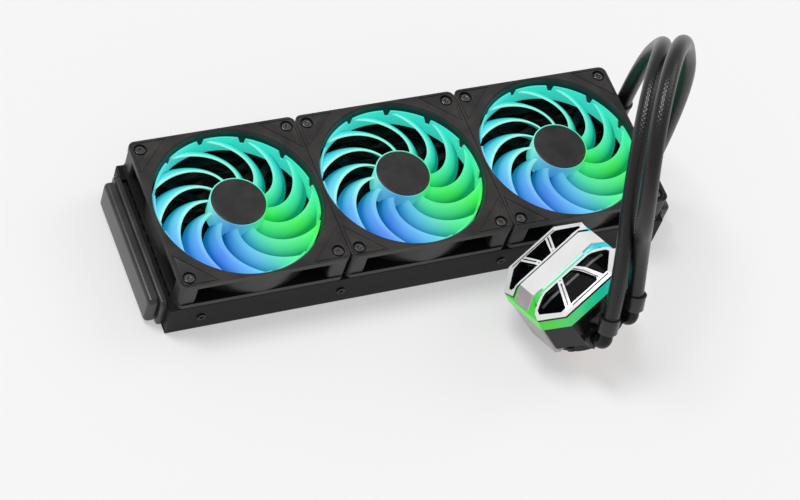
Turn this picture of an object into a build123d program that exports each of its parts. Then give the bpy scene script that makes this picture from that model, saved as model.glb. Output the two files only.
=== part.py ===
from build123d import *
from math import acos, atan2, cos, hypot, pi, radians, sin, sqrt, tan
import os

# All in one liquid cooler: three lit fans on a 360 mm radiator, two hoses and a pump head.
# Millimetres, +Z up. The origin is the centre of the radiator's underside, +X runs along it
# to the tank with the hose ports, and +Y points away from the pump head.

# Fits and clearances
touch_gap = 0.1
running_gap = 0.08
seat_gap = 0.05

# The fans stand side by side, and the radiator is as long and as wide as they need
fan_size = 119.6
fan_gap = 0.4
fan_pitch = fan_size + fan_gap

# Radiator
core_length = 3 * fan_pitch
radiator_width = fan_pitch
radiator_depth = 27.0
rail_wall = 1.0
rail_fold_r = 0.8
rail_flange = 12.0
tube_count = 12
tube_margin = 8.3
tube_wall = 1.8
tube_depth = 20.0
fin_wall = 0.4
fin_folds = 20
fin_depth = 18.0
header_wall = 3.2
header_margin = 3.0
tube_entry = 1.6
ridge_thickness = 4.3
ridge_inset = 6.0
ridge_depth = 25.4
neck_thickness = 1.0
neck_inset = 2.0
bulge_thickness = 6.5
bulge_inset = 10.0
bulge_depth = 24.0
bulge_corner_r = 3.6
bulge_edge_r = 3.2
ridge_corner_r = 4.0
ridge_edge_r = 1.7
tank_wall = 2.0
rail_screw_end = 20.0
rail_screw_r = 1.5
rail_screw_head_r = 3.0
rail_screw_head_t = 0.9
rail_screw_length = 3.0
rail_socket_r = 1.6
rail_socket = 0.6

# Fans
fan_depth = 25.0
fan_corner_r = 5.0
screw_inset = 7.3
front_flange = 4.2
back_flange = 3.8
post_side = 13.0
post_corner_r = 3.0
duct_margin = 1.8
duct_wall = 1.6
duct_lead = 1.2
fan_hole_r = 2.2
screw_recess_r = 4.6
screw_recess = 2.6
pad_inset = 1.7
pad_leg = 25.0
pad_groove = 0.6
pad_groove_depth = 0.5
strut_count = 4
strut_angle = 45.0
strut_width = 5.0
strut_thickness = 3.4
motor_base_r = 19.0
bearing_tube_r = 4.2
bearing_r = 3.4
bearing_length = 13.0

# Fan screws
screw_r = 1.5
tapped_r = 1.6
screw_head_r = 3.3
screw_head_t = 2.2
screw_socket_r = 1.3
screw_socket = 1.2
screw_tip = 2.4

# Rotor, with twelve blades swept forward in the direction of rotation and joined by a ring
rotor_gap = 1.6
hub_r = 19.6
hub_wall = 1.6
hub_bottom_gap = 2.4
hub_disc_r = 18.8
hub_disc_t = 1.0
hub_disc_recess = 0.8
hub_edge = 0.4
shaft_r = 1.5
boss_r = 3.4
boss_depth = 2.0
shaft_foot_gap = 0.5
blade_count = 12
blade_wall = 1.5
ring_gap = 1.5
ring_wall = 1.3
ring_drop = 2.4
ring_height = 16.6
blade_root_r = 18.9
blade_camber = 0.09
# Way from root to duct, sweep of the leading edge in degrees, chord across, and how far the
# leading and the trailing edge lie below the fan's face
blade_stations = (
    (0.0, 0.0, 8.4, 3.4, 18.4),
    (0.31, 12.0, 12.2, 3.6, 18.8),
    (0.64, 33.0, 18.0, 4.4, 18.6),
    (1.0, 60.0, 26.5, 6.0, 17.8),
)
# A notch in the ring before each blade's tip: its bottom and its far side ahead of the tip
notch_angle = 57.6
notch_depth = 6.4
notch_bottom = 1.3
notch_width = 6.0
rotor_phase = {"left": 8.0, "middle": 11.0, "right": 13.2}

# Fan motor
magnet_wall = 1.9
magnet_height = 11.0
stator_gap = 0.7
stator_poles = 4
stator_height = 8.0
pole_arm = 4.0
pole_shoe = 1.8
pole_gap = 3.0
stator_core_r = 7.0
board_t = 1.4
board_r = 17.6

# Hoses and their ferrules
hose_d = 11.6
hose_bore_r = 3.6
ferrule_wall = 1.2
ferrule_lip = 0.3
ferrule_lip_h = 1.0
ferrule_bevel = 1.1
ferrule_length = 12.2
spigot_length = 8.0
port_inset = 4.8
port_front_y = 34.0
port_rear_y = -18.0
port_boss_r = 7.2
port_boss_top = 29.0
bend_share = 0.45
hose_front_rise = 33.3
hose_rear_rise = 42.2

# Pump head: its plan is an octagon, and its roof falls from a ridge to the octagon's edge
pump_from_port = 87.63
pump_from_rail = 55.91
ridge_axis = (0.8324, 0.3362, 0.4407)
pump_axis = (-0.5273, 0.2355, 0.8164)
cap_half_x = 35.7
cap_half_y = 32.5
cap_corner_x = 20.8
cap_corner_y = 18.9
crest_half_x = 26.3
crest_half_y = 7.5
crest_shoulder_x = 18.0
crest_shoulder_y = 8.2
rim_z = 1.0
body_r = 31.5
body_skirt_z = 13.0
band_z = 41.0
eave_z = 49.7
crest_z = 58.2
band_flare = 0.8
body_inset = 1.6
foot_half_x = 34.0
foot_half_y = 31.0
foot_corner_x = 18.0
foot_corner_y = 17.0
tab_angles = (36, 66, 90, 114, 144, 216, 244, 296, 324)
tab_width = 4.0
tab_reach = 2.4
tab_bottom = 4.2
tab_top = 8.0
chamber_r = 21.0
board_ledge_r = 23.0
board_ledge_z = 28.5
chamber_top = 38.6
guide_pocket_inset = 6.0
guide_pocket_top = 46.4

# Window frames and centre plate on the roof, and black windows let into it
lens_edge_x = 19.2
lens_edge_y = 9.6
front_tip_x = 33.5
front_tip_y = 14.4
rear_tip_x = 34.2
rear_tip_y = 9.8
front_windows = (
    ((-19.3, -11.3), (-30.9, -15.3), (-32.0, -17.6), (-21.0, -28.2), (-17.0, -28.2), (-8.3, -11.3)),
    ((-4.0, -11.3), (4.2, -11.3), (8.6, -17.6), (12.6, -26.6), (11.2, -28.4), (-12.2, -28.4)),
    ((8.0, -11.3), (19.4, -11.3), (30.6, -15.4), (31.9, -17.4), (21.0, -28.2), (17.2, -28.2), (12.2, -17.0)),
)
rear_windows = (
    ((-19.3, 11.3), (-30.2, 11.4), (-32.2, 13.5), (-32.0, 16.2), (-19.8, 26.6), (-12.6, 28.2), (-8.3, 11.3)),
    ((-4.2, 11.3), (4.2, 11.3), (10.0, 28.2), (-8.0, 28.2)),
    ((8.3, 11.3), (14.6, 28.2), (18.5, 28.0), (31.8, 15.6), (30.8, 12.4), (19.4, 11.3)),
)
frame_proud = 1.9
frame_sink = 1.5
pane_sink = 3.0
plate_half_x = 35.2
plate_half_y = 7.3
plate_t = 2.0

# Panels on the two narrow ends of the pump body, each with bevelled sides
end_panel_top = 36.0
end_panel_foot = 31.0
end_panel_top_x = 36.2
end_panel_foot_x = 35.4
end_panel_root_x = 29.0
end_panel_foot_z = 6.5
end_panel_bevel = 2.6

# Cold plate and what it closes
contact_r = 24.0
plate_flange_r = 28.0
plate_flange_t = 2.4
gasket_outer_r = 23.6
gasket_t = 0.9
base_screw_count = 8
base_screw_circle_r = 26.0
base_screw_r = 1.2
base_screw_head_r = 2.1
base_screw_length = 8.0
base_screw_angle = 22.5
micro_fin_side = 24.0
micro_fin_count = 9
micro_fin_wall = 1.2
micro_fin_h = 3.0
jet_plate_t = 1.5
jet_slot = 2.4

# Pump motor
impeller_r = 12.0
impeller_disc_t = 1.2
impeller_vanes = 6
impeller_vane_h = 2.6
impeller_vane_wall = 1.2
pump_magnet_r = 9.2
pump_magnet_h = 11.0
pump_shaft_r = 1.4
impeller_gap = 0.9
impeller_hub_r = 3.6
can_gap = 0.7
can_wall = 0.6
can_flange_t = 1.4
can_flange_r = 22.0
can_ledge_z = 13.6
can_top_z = 27.0
pump_stator_poles = 6
pump_stator_h = 8.5
pump_stator_r = 20.5
pump_yoke = 3.0
pump_pole = 4.2
pump_board_t = 1.6

# Elbows that turn in the pump's two ports
port_spacing = 24.0
port_offset = 1.0
port_pocket = 1.0
passage_r = 2.3
passage_z = 11.2
port_z = 15.0
elbow_y = 43.0
elbow_r = 4.8
elbow_bend = 5.5
elbow_root_y = 27.0
elbow_bore_r = 3.4
elbow_spigot = 3.2
elbow_seat = 9.8
elbow_front_angle = 37.0
elbow_rear_angle = 36.0
port_collar_r = 7.6
port_collar_y = 34.5
port_clip_t = 1.2
seal_section = 1.2
seal_y = 31.5

os.makedirs("parts", exist_ok=True)


def save(shape, name):
    """Label a finished piece and write it under its own name."""
    shape.label = name
    export_step(shape, f"parts/{name}.step")


def centred_row(count, pitch):
    """Places of a row of equal things about zero."""
    return [(i - (count - 1) / 2) * pitch for i in range(count)]


# Side rails: folded channels that carry the fans above and take the case screws below
screw_spacing = fan_size - 2 * screw_inset
fan_centres = {"left": -fan_pitch, "middle": 0.0, "right": fan_pitch}
half_width = radiator_width / 2
mid_height = radiator_depth / 2
header_face = core_length / 2
tank_root = header_face + header_wall
rail_screw_x = [side * x for side in (-1, 1) for x in (fan_pitch / 2, header_face - rail_screw_end)]
front_holes = [
    (centre + side * screw_spacing / 2, -screw_spacing / 2)
    for centre in fan_centres.values()
    for side in (-1, 1)
]

with BuildPart() as front_rail:
    with BuildSketch(Plane.YZ.offset(-tank_root)):
        with BuildLine():
            Polyline(
                (-half_width + rail_flange, 0),
                (-half_width, 0),
                (-half_width, radiator_depth),
                (-half_width + rail_flange, radiator_depth),
                (-half_width + rail_flange, radiator_depth - rail_wall),
                (-half_width + rail_wall, radiator_depth - rail_wall),
                (-half_width + rail_wall, rail_wall),
                (-half_width + rail_flange, rail_wall),
                close=True,
            )
        make_face()
    extrude(amount=2 * tank_root)
    outer_folds = front_rail.edges().filter_by(Axis.X).group_by(Axis.Y)[0]
    fillet(outer_folds, rail_fold_r)
    with BuildSketch(Plane.XY):
        with Locations(front_holes):
            Circle(tapped_r)
    extrude(amount=radiator_depth, mode=Mode.SUBTRACT)
    with BuildSketch(Plane.XZ.offset(half_width)):
        with Locations([(x, mid_height) for x in rail_screw_x]):
            Circle(rail_screw_r + touch_gap)
    extrude(amount=-rail_wall, mode=Mode.SUBTRACT)
save(front_rail.part, "front_rail")

with BuildPart() as rear_rail:
    mirror(front_rail.part, about=Plane.XZ)
save(rear_rail.part, "rear_rail")

# Small screws through the rails' webs, with a socket in each head
with BuildPart() as rail_screws:
    with BuildSketch(Plane.XZ.offset(half_width)):
        with Locations([(x, mid_height) for x in rail_screw_x]):
            Circle(rail_screw_head_r)
    extrude(amount=rail_screw_head_t)
    with BuildSketch(Plane.XZ.offset(half_width)):
        with Locations([(x, mid_height) for x in rail_screw_x]):
            Circle(rail_screw_r)
    extrude(amount=-rail_screw_length)
    with BuildSketch(Plane.XZ.offset(half_width + rail_screw_head_t)):
        with Locations([(x, mid_height) for x in rail_screw_x]):
            RegularPolygon(rail_socket_r, 6)
    extrude(amount=-rail_socket, mode=Mode.SUBTRACT)
    mirror(about=Plane.XZ)
save(rail_screws.part, "rail_screws")

# Core: flat coolant tubes from header to header, with folded fins between them
tube_pitch = (radiator_width - 2 * tube_margin) / (tube_count - 1)
tube_rows = centred_row(tube_count, tube_pitch)
tube_reach = header_face + tube_entry

with BuildPart() as coolant_tubes:
    with BuildSketch(Plane.YZ.offset(-tube_reach)):
        with Locations([(y, mid_height) for y in tube_rows]):
            Rectangle(tube_wall, tube_depth)
    extrude(amount=2 * tube_reach)
save(coolant_tubes.part, "coolant_tubes")

fin_swing = (tube_pitch - tube_wall) / 2 - seat_gap - fin_wall
fold_step = core_length / fin_folds


def fin_strip(centre_y):
    """Outline of one folded strip seen from above, of constant thickness across."""
    middle = [
        (i * fold_step - header_face, centre_y + (fin_swing if i % 2 else -fin_swing))
        for i in range(fin_folds + 1)
    ]
    near = [(x, y - fin_wall) for x, y in middle]
    far = [(x, y + fin_wall) for x, y in reversed(middle)]
    return near + far


with BuildPart() as cooling_fins:
    with BuildSketch(Plane.XY.offset(mid_height - fin_depth / 2)):
        for low_row, high_row in zip(tube_rows, tube_rows[1:]):
            with BuildLine():
                Polyline(*fin_strip((low_row + high_row) / 2), close=True)
            make_face()
    extrude(amount=fin_depth)
save(cooling_fins.part, "cooling_fins")

# Header plates at both ends of the core, slotted for the tubes
with BuildPart() as header_plates:
    with BuildSketch(Plane.YZ.offset(header_face)):
        with Locations((0, mid_height)):
            Rectangle(radiator_width - 2 * rail_wall, radiator_depth - 2 * header_margin)
        with Locations([(y, mid_height) for y in tube_rows]):
            Rectangle(tube_wall + 2 * seat_gap, tube_depth + 2 * seat_gap, mode=Mode.SUBTRACT)
    extrude(amount=header_wall)
    mirror(about=Plane.YZ)
save(header_plates.part, "header_plates")

# End tanks: a crimped ridge, a narrower neck and a rounded bulge, hollow inside
bulge_root = tank_root + ridge_thickness + neck_thickness
ridge_width = radiator_width - 2 * ridge_inset
bulge_width = radiator_width - 2 * bulge_inset

with BuildPart() as tank_bulge:
    with BuildSketch(Plane.YZ.offset(bulge_root)):
        with Locations((0, mid_height)):
            RectangleRounded(bulge_width, bulge_depth, bulge_corner_r)
    extrude(amount=bulge_thickness)
    fillet(tank_bulge.faces().sort_by(Axis.X)[-1].edges(), bulge_edge_r)

with BuildPart() as tank_shell:
    with BuildSketch(Plane.YZ.offset(tank_root)):
        with Locations((0, mid_height)):
            RectangleRounded(ridge_width, ridge_depth, ridge_corner_r)
    extrude(amount=ridge_thickness)
    fillet(tank_shell.faces().sort_by(Axis.X)[-1].edges(), ridge_edge_r)
    with BuildSketch(Plane.YZ.offset(tank_root)):
        with Locations((0, mid_height)):
            RectangleRounded(
                bulge_width - 2 * neck_inset,
                bulge_depth - 2 * neck_inset,
                bulge_corner_r,
            )
    extrude(amount=ridge_thickness + neck_thickness + neck_inset)
    add(tank_bulge.part)
    with BuildSketch(Plane.YZ.offset(tank_root)):
        with Locations((0, mid_height)):
            Rectangle(
                bulge_width - 2 * neck_inset - 2 * tank_wall,
                bulge_depth - 2 * neck_inset - 2 * tank_wall,
            )
    extrude(amount=bulge_root + bulge_thickness - tank_wall - tank_root, mode=Mode.SUBTRACT)

with BuildPart() as left_tank:
    mirror(tank_shell.part, about=Plane.YZ)
save(left_tank.part, "left_tank")

# The right tank has the two hose ports on top, each a boss with a spigot
port_x = tank_root + port_inset
port_places = [(port_x, port_front_y), (port_x, port_rear_y)]
hose_r = hose_d / 2
hose_seat_z = port_boss_top + spigot_length

with BuildPart() as right_tank:
    add(tank_shell.part)
    with BuildSketch(Plane.XY.offset(port_boss_top)):
        with Locations(port_places):
            Circle(port_boss_r)
    extrude(amount=radiator_depth - header_margin + touch_gap - port_boss_top)
    with BuildSketch(Plane.XY.offset(port_boss_top)):
        with Locations(port_places):
            Circle(hose_r)
    extrude(amount=spigot_length)
    with BuildSketch(Plane.XY.offset(hose_seat_z)):
        with Locations(port_places):
            Circle(hose_bore_r)
    extrude(amount=mid_height - hose_seat_z, mode=Mode.SUBTRACT)
save(right_tank.part, "right_tank")

# One fan, made about the Z axis and then placed three times along the radiator
fan_bottom = radiator_depth
fan_top = fan_bottom + fan_depth
motor_floor = fan_bottom + strut_thickness
duct_r = fan_size / 2 - duct_margin
pad_edge = fan_size / 2 - pad_inset
pad_tip = pad_edge - pad_leg
pad_inner_edge = pad_edge - pad_groove
pad_inner_tip = pad_tip + pad_groove * (1 + sqrt(2))

with BuildPart() as fan_frame:
    with BuildSketch(Plane.XY.offset(fan_bottom)):
        RectangleRounded(fan_size, fan_size, fan_corner_r)
    extrude(amount=back_flange)
    with BuildSketch(Plane.XY.offset(fan_top)):
        RectangleRounded(fan_size, fan_size, fan_corner_r)
    extrude(amount=-front_flange)
    with BuildSketch(Plane.XY.offset(fan_bottom)):
        Circle(duct_r + duct_wall)
        with GridLocations(screw_spacing, screw_spacing, 2, 2):
            RectangleRounded(post_side, post_side, post_corner_r)
    extrude(amount=fan_depth)
    with BuildSketch(Plane.XY.offset(fan_bottom)):
        Circle(duct_r)
    extrude(amount=fan_depth, mode=Mode.SUBTRACT)
    top_circles = fan_frame.edges().filter_by(GeomType.CIRCLE).group_by(Axis.Z)[-1]
    chamfer(top_circles.sort_by(SortBy.RADIUS)[-1], duct_lead)
    with BuildSketch(Plane.XY.offset(fan_bottom)):
        Circle(motor_base_r)
        with PolarLocations((motor_base_r + duct_r) / 2, strut_count, start_angle=strut_angle):
            Rectangle(duct_r - motor_base_r + duct_wall, strut_width)
    extrude(amount=strut_thickness)
    with BuildSketch(Plane.XY.offset(motor_floor)):
        Circle(bearing_tube_r)
    extrude(amount=bearing_length)
    with BuildSketch(Plane.XY.offset(motor_floor)):
        Circle(bearing_r)
    extrude(amount=bearing_length, mode=Mode.SUBTRACT)
    with Locations((0, 0, fan_top)):
        with GridLocations(screw_spacing, screw_spacing, 2, 2):
            CounterBoreHole(fan_hole_r, screw_recess_r, screw_recess)
    with BuildSketch(Plane.XY.offset(fan_top)):
        with PolarLocations(0, 4):
            Polygon((pad_edge, pad_edge), (pad_tip, pad_edge), (pad_edge, pad_tip), align=None)
            Polygon(
                (pad_inner_edge, pad_inner_edge),
                (pad_inner_tip, pad_inner_edge),
                (pad_inner_edge, pad_inner_tip),
                align=None,
                mode=Mode.SUBTRACT,
            )
    extrude(amount=-pad_groove_depth, mode=Mode.SUBTRACT)

# Hub: a deep cup with a recess on top for its disc and a boss inside for the shaft
hub_top = fan_top - rotor_gap
hub_face = hub_top - hub_disc_recess
hub_ceiling = hub_face - hub_wall
hub_bottom = motor_floor + hub_bottom_gap
cup_r = hub_r - hub_wall

with BuildPart() as hub:
    with BuildSketch(Plane.XZ):
        with BuildLine():
            Polyline(
                (0, hub_face),
                (hub_disc_r + touch_gap, hub_face),
                (hub_disc_r + touch_gap, hub_top),
                (hub_r - hub_edge, hub_top),
                (hub_r, hub_top - hub_edge),
                (hub_r, hub_bottom),
                (cup_r, hub_bottom),
                (cup_r, hub_ceiling),
                (boss_r, hub_ceiling),
                (boss_r, hub_ceiling - boss_depth),
                (shaft_r, hub_ceiling - boss_depth),
                (shaft_r, hub_ceiling),
                (0, hub_ceiling),
                close=True,
            )
        make_face()
    revolve(axis=Axis.Z)


def blade_plane(radius, lead, chord):
    """Upright plane that faces outward at the middle of the chord, with its x axis forward."""
    angle = radians(lead) - chord / 2 / radius
    outward = Vector(cos(angle), sin(angle), 0)
    return Plane(origin=outward * radius, x_dir=(-sin(angle), cos(angle), 0), z_dir=outward)


# One blade: four curved sections, swept forward towards the tip and trimmed to the ring
ring_r = duct_r - ring_gap

with BuildPart() as blade:
    for way, lead, chord, leading_drop, trailing_drop in blade_stations:
        radius = blade_root_r + way * (duct_r - blade_root_r)
        rise = trailing_drop - leading_drop
        swell = blade_camber * chord
        bow_x = -swell * rise / hypot(chord, rise)
        bow_z = swell * chord / hypot(chord, rise)
        across = blade_wall / 2 * rise / hypot(chord, rise)
        up = blade_wall / 2 * chord / hypot(chord, rise)
        front = Vector(chord / 2, fan_top - leading_drop)
        back = Vector(-chord / 2, fan_top - trailing_drop)
        middle = (front + back) / 2 + Vector(bow_x, bow_z)
        shift = Vector(-across, up)
        with BuildSketch(blade_plane(radius, lead, chord)):
            with BuildLine():
                ThreePointArc(back + shift, middle + shift, front + shift)
                Line(front + shift, front - shift)
                ThreePointArc(front - shift, middle - shift, back - shift)
                Line(back - shift, back + shift)
            make_face()
    loft()
    with BuildSketch(Plane.XY.offset(fan_bottom)):
        Circle(ring_r)
    extrude(amount=fan_depth, mode=Mode.INTERSECT)

with BuildPart() as notch:
    with BuildSketch(blade_plane(ring_r + ring_wall, notch_angle, 0)):
        Polygon(
            (0, fan_top - ring_drop),
            (notch_width, fan_top - ring_drop),
            (notch_bottom, fan_top - ring_drop - notch_depth),
            align=None,
        )
    extrude(amount=-4 * ring_wall)

with BuildPart() as rotor:
    with BuildSketch(Plane.XY.offset(fan_top - ring_drop)):
        Circle(ring_r)
        Circle(ring_r - ring_wall, mode=Mode.SUBTRACT)
    extrude(amount=-ring_height)
    with PolarLocations(0, blade_count):
        add(notch.part, mode=Mode.SUBTRACT)
    with PolarLocations(0, blade_count):
        add(blade.part)
    add(hub.part)

with BuildPart() as hub_disc:
    with BuildSketch(Plane.XY.offset(hub_face)):
        Circle(hub_disc_r)
    extrude(amount=hub_disc_t)

with BuildPart() as fan_magnet:
    with BuildSketch(Plane.XY.offset(hub_ceiling)):
        Circle(cup_r)
        Circle(cup_r - magnet_wall, mode=Mode.SUBTRACT)
    extrude(amount=-magnet_height)

with BuildPart() as fan_shaft:
    with BuildSketch(Plane.XY.offset(hub_ceiling)):
        Circle(shaft_r)
    extrude(amount=motor_floor + shaft_foot_gap - hub_ceiling)

with BuildPart() as fan_bearing:
    with BuildSketch(Plane.XY.offset(motor_floor)):
        Circle(bearing_r)
        Circle(shaft_r + running_gap, mode=Mode.SUBTRACT)
    extrude(amount=bearing_length)

stator_r = cup_r - magnet_wall - stator_gap
stator_top = motor_floor + bearing_length

with BuildPart() as fan_stator:
    with BuildSketch(Plane.XY.offset(stator_top)):
        Circle(stator_r)
        Circle(stator_r - pole_shoe, mode=Mode.SUBTRACT)
        with PolarLocations(stator_r, stator_poles, start_angle=180 / stator_poles):
            Rectangle(4 * pole_shoe, pole_gap, mode=Mode.SUBTRACT)
        Circle(stator_core_r)
        with PolarLocations((stator_r - pole_shoe / 2) / 2, stator_poles):
            Rectangle(stator_r - pole_shoe / 2, pole_arm)
        Circle(bearing_tube_r + seat_gap, mode=Mode.SUBTRACT)
    extrude(amount=-stator_height)

with BuildPart() as fan_board:
    with BuildSketch(Plane.XY.offset(motor_floor)):
        Circle(board_r)
        Circle(bearing_tube_r + seat_gap, mode=Mode.SUBTRACT)
    extrude(amount=board_t)

with BuildPart() as fan_screws:
    with BuildSketch(Plane.XY.offset(fan_top - screw_recess)):
        with GridLocations(screw_spacing, screw_spacing, 2, 2):
            Circle(screw_head_r)
    extrude(amount=screw_head_t)
    with BuildSketch(Plane.XY.offset(fan_top - screw_recess)):
        with GridLocations(screw_spacing, screw_spacing, 2, 2):
            Circle(screw_r)
    extrude(amount=fan_bottom - screw_tip - fan_top + screw_recess)
    with BuildSketch(Plane.XY.offset(fan_top - screw_recess + screw_head_t)):
        with GridLocations(screw_spacing, screw_spacing, 2, 2):
            RegularPolygon(screw_socket_r, 6)
    extrude(amount=-screw_socket, mode=Mode.SUBTRACT)

fan_pieces = {
    "frame": fan_frame.part,
    "screws": fan_screws.part,
    "bearing": fan_bearing.part,
    "stator": fan_stator.part,
    "board": fan_board.part,
    "rotor": rotor.part,
    "hub_disc": hub_disc.part,
    "magnet": fan_magnet.part,
    "shaft": fan_shaft.part,
}
turning = ("rotor", "hub_disc", "magnet", "shaft")

for side, centre in fan_centres.items():
    for name, piece in fan_pieces.items():
        turn = rotor_phase[side] if name in turning else 0
        save(piece.moved(Location((centre, 0, 0), (0, 0, turn))), f"fan_{side}_{name}")

# The pump head leans on the lowest point of its body's rim, so its height follows from its tilt
tilt = acos(pump_axis[2])
pump_x = port_x - pump_from_port
pump_y = -half_width - pump_from_rail
pump_z = body_r * sin(tilt) - rim_z * cos(tilt)
pump_plane = Plane(origin=(pump_x, pump_y, pump_z), x_dir=ridge_axis, z_dir=pump_axis)


def save_pump(shape, name):
    """Place a piece of the pump head, made about its own axis, and write it."""
    save(shape.moved(pump_plane.location), name)


def octagon(half_x, corner_y, corner_x, half_y):
    """The eight corners of an outline that is the same in all four quarters."""
    return [
        (half_x, -corner_y),
        (half_x, corner_y),
        (corner_x, half_y),
        (-corner_x, half_y),
        (-half_x, corner_y),
        (-half_x, -corner_y),
        (-corner_x, -half_y),
        (corner_x, -half_y),
    ]


def cap_octagon(grow):
    """The cap's outline with every side moved outward by grow."""
    slant = atan2(cap_half_x - cap_corner_x, cap_half_y - cap_corner_y)
    return octagon(
        cap_half_x + grow,
        cap_corner_y + grow * tan(slant / 2),
        cap_corner_x + grow * tan((pi / 2 - slant) / 2),
        cap_half_y + grow,
    )


# Outer form of the body: a round skirt below an eight sided case that widens to the light band
with BuildPart() as body_form:
    with BuildSketch(Plane.XY.offset(rim_z)):
        Circle(body_r)
    extrude(amount=body_skirt_z - rim_z)
    with BuildSketch(Plane.XY.offset(body_skirt_z)):
        Polygon(*octagon(foot_half_x, foot_corner_y, foot_corner_x, foot_half_y), align=None)
    with BuildSketch(Plane.XY.offset(band_z)):
        Polygon(*cap_octagon(band_flare - body_inset), align=None)
    loft(ruled=True)

port_xs = [port_offset - port_spacing / 2, port_offset + port_spacing / 2]
collar_places = [(x, port_z) for x in port_xs]
plate_top = rim_z + plate_flange_t
jet_base = plate_top + micro_fin_h
jet_top = jet_base + jet_plate_t

with BuildPart() as pump_body:
    add(body_form.part)
    with BuildSketch(Plane.XZ.offset(chamber_r + port_pocket)):
        with Locations(collar_places):
            Circle(port_collar_r)
    extrude(amount=port_collar_y - chamber_r - port_pocket)
    with BuildSketch(Plane.XY.offset(tab_bottom)):
        for angle in tab_angles:
            with PolarLocations(body_r, 1, start_angle=angle):
                Rectangle(2 * tab_reach, tab_width)
    extrude(amount=tab_top - tab_bottom)
    with BuildSketch(Plane.XY.offset(rim_z)):
        Circle(plate_flange_r + touch_gap)
    extrude(amount=plate_flange_t, mode=Mode.SUBTRACT)
    with BuildSketch(Plane.XY.offset(plate_top)):
        Circle(gasket_outer_r)
    extrude(amount=gasket_t, mode=Mode.SUBTRACT)
    with BuildSketch(Plane.XY.offset(plate_top)):
        Circle(chamber_r)
    extrude(amount=can_ledge_z - plate_top, mode=Mode.SUBTRACT)
    with BuildSketch(Plane.XY.offset(can_ledge_z)):
        Circle(can_flange_r + touch_gap)
    extrude(amount=board_ledge_z - can_ledge_z, mode=Mode.SUBTRACT)
    with BuildSketch(Plane.XY.offset(board_ledge_z)):
        Circle(board_ledge_r + touch_gap)
    extrude(amount=chamber_top - board_ledge_z, mode=Mode.SUBTRACT)
    with BuildSketch(Plane.XY.offset(plate_top)):
        with PolarLocations(base_screw_circle_r, base_screw_count, start_angle=base_screw_angle):
            Circle(base_screw_r)
    extrude(amount=base_screw_length - plate_flange_t, mode=Mode.SUBTRACT)
    with BuildSketch(Plane.XZ.offset(port_collar_y)):
        with Locations(collar_places):
            Circle(elbow_r + running_gap)
    extrude(amount=elbow_root_y - port_pocket - port_collar_y, mode=Mode.SUBTRACT)
    with BuildSketch(Plane.XZ.offset(seal_y)):
        with Locations(collar_places):
            Circle(elbow_r + seal_section)
    extrude(amount=seal_section, both=True, mode=Mode.SUBTRACT)
    with BuildSketch(Plane.XZ.offset(chamber_r - port_pocket)):
        with Locations([(x, passage_z) for x in port_xs]):
            Circle(passage_r)
    extrude(amount=elbow_root_y - chamber_r + port_pocket, mode=Mode.SUBTRACT)
save_pump(pump_body.part, "pump_body")

# Cold plate: copper, with micro fins inside and a raised face for the processor
with BuildPart() as cold_plate:
    with BuildSketch():
        Circle(contact_r)
    extrude(amount=rim_z)
    with BuildSketch(Plane.XY.offset(rim_z)):
        Circle(plate_flange_r)
    extrude(amount=plate_flange_t)
    with BuildSketch(Plane.XY.offset(plate_top)):
        with GridLocations(micro_fin_side / (micro_fin_count - 1), 0, micro_fin_count, 1):
            Rectangle(micro_fin_wall, micro_fin_side)
    extrude(amount=micro_fin_h)
    with Locations(Location((0, 0, rim_z), (180, 0, 0))):
        with PolarLocations(base_screw_circle_r, base_screw_count, start_angle=base_screw_angle):
            CounterSinkHole(base_screw_r, base_screw_head_r, depth=plate_flange_t)
save_pump(cold_plate.part, "cold_plate")

with BuildPart() as base_gasket:
    with BuildSketch(Plane.XY.offset(plate_top)):
        Circle(gasket_outer_r)
        Circle(chamber_r, mode=Mode.SUBTRACT)
    extrude(amount=gasket_t)
save_pump(base_gasket.part, "base_gasket")

sink_depth = base_screw_head_r - base_screw_r

with BuildPart() as base_screw:
    with BuildSketch(Plane.XZ):
        with BuildLine():
            Polyline(
                (0, rim_z),
                (base_screw_head_r, rim_z),
                (base_screw_r, rim_z + sink_depth),
                (base_screw_r, rim_z + base_screw_length),
                (0, rim_z + base_screw_length),
                close=True,
            )
        make_face()
    revolve(axis=Axis.Z)

with BuildPart() as base_screws:
    with PolarLocations(base_screw_circle_r, base_screw_count, start_angle=base_screw_angle):
        add(base_screw.part)
save_pump(base_screws.part, "base_screws")

with BuildPart() as jet_plate:
    with BuildSketch(Plane.XY.offset(jet_base)):
        Circle(chamber_r - touch_gap)
        Rectangle(jet_slot, micro_fin_side, mode=Mode.SUBTRACT)
    extrude(amount=jet_plate_t)
save_pump(jet_plate.part, "jet_plate")

# Pump motor: a wet impeller with its magnet inside the can, and a dry stator around it
vane_z = jet_top + impeller_gap
disc_z = vane_z + impeller_vane_h
magnet_z = disc_z + impeller_disc_t
can_inner_r = pump_magnet_r + can_gap
can_outer_r = can_inner_r + can_wall
stator_base = can_ledge_z + can_flange_t

with BuildPart() as impeller:
    with BuildSketch(Plane.XY.offset(vane_z)):
        Circle(impeller_hub_r)
        with PolarLocations(impeller_r / 2, impeller_vanes):
            Rectangle(impeller_r, impeller_vane_wall)
    extrude(amount=impeller_vane_h)
    with BuildSketch(Plane.XY.offset(disc_z)):
        Circle(impeller_r)
    extrude(amount=impeller_disc_t)
    with BuildSketch(Plane.XY.offset(vane_z)):
        Circle(pump_shaft_r + running_gap)
    extrude(amount=magnet_z - vane_z, mode=Mode.SUBTRACT)
save_pump(impeller.part, "impeller")

with BuildPart() as pump_magnet:
    with BuildSketch(Plane.XY.offset(magnet_z)):
        Circle(pump_magnet_r)
        Circle(pump_shaft_r + running_gap, mode=Mode.SUBTRACT)
    extrude(amount=pump_magnet_h)
save_pump(pump_magnet.part, "impeller_magnet")

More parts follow.
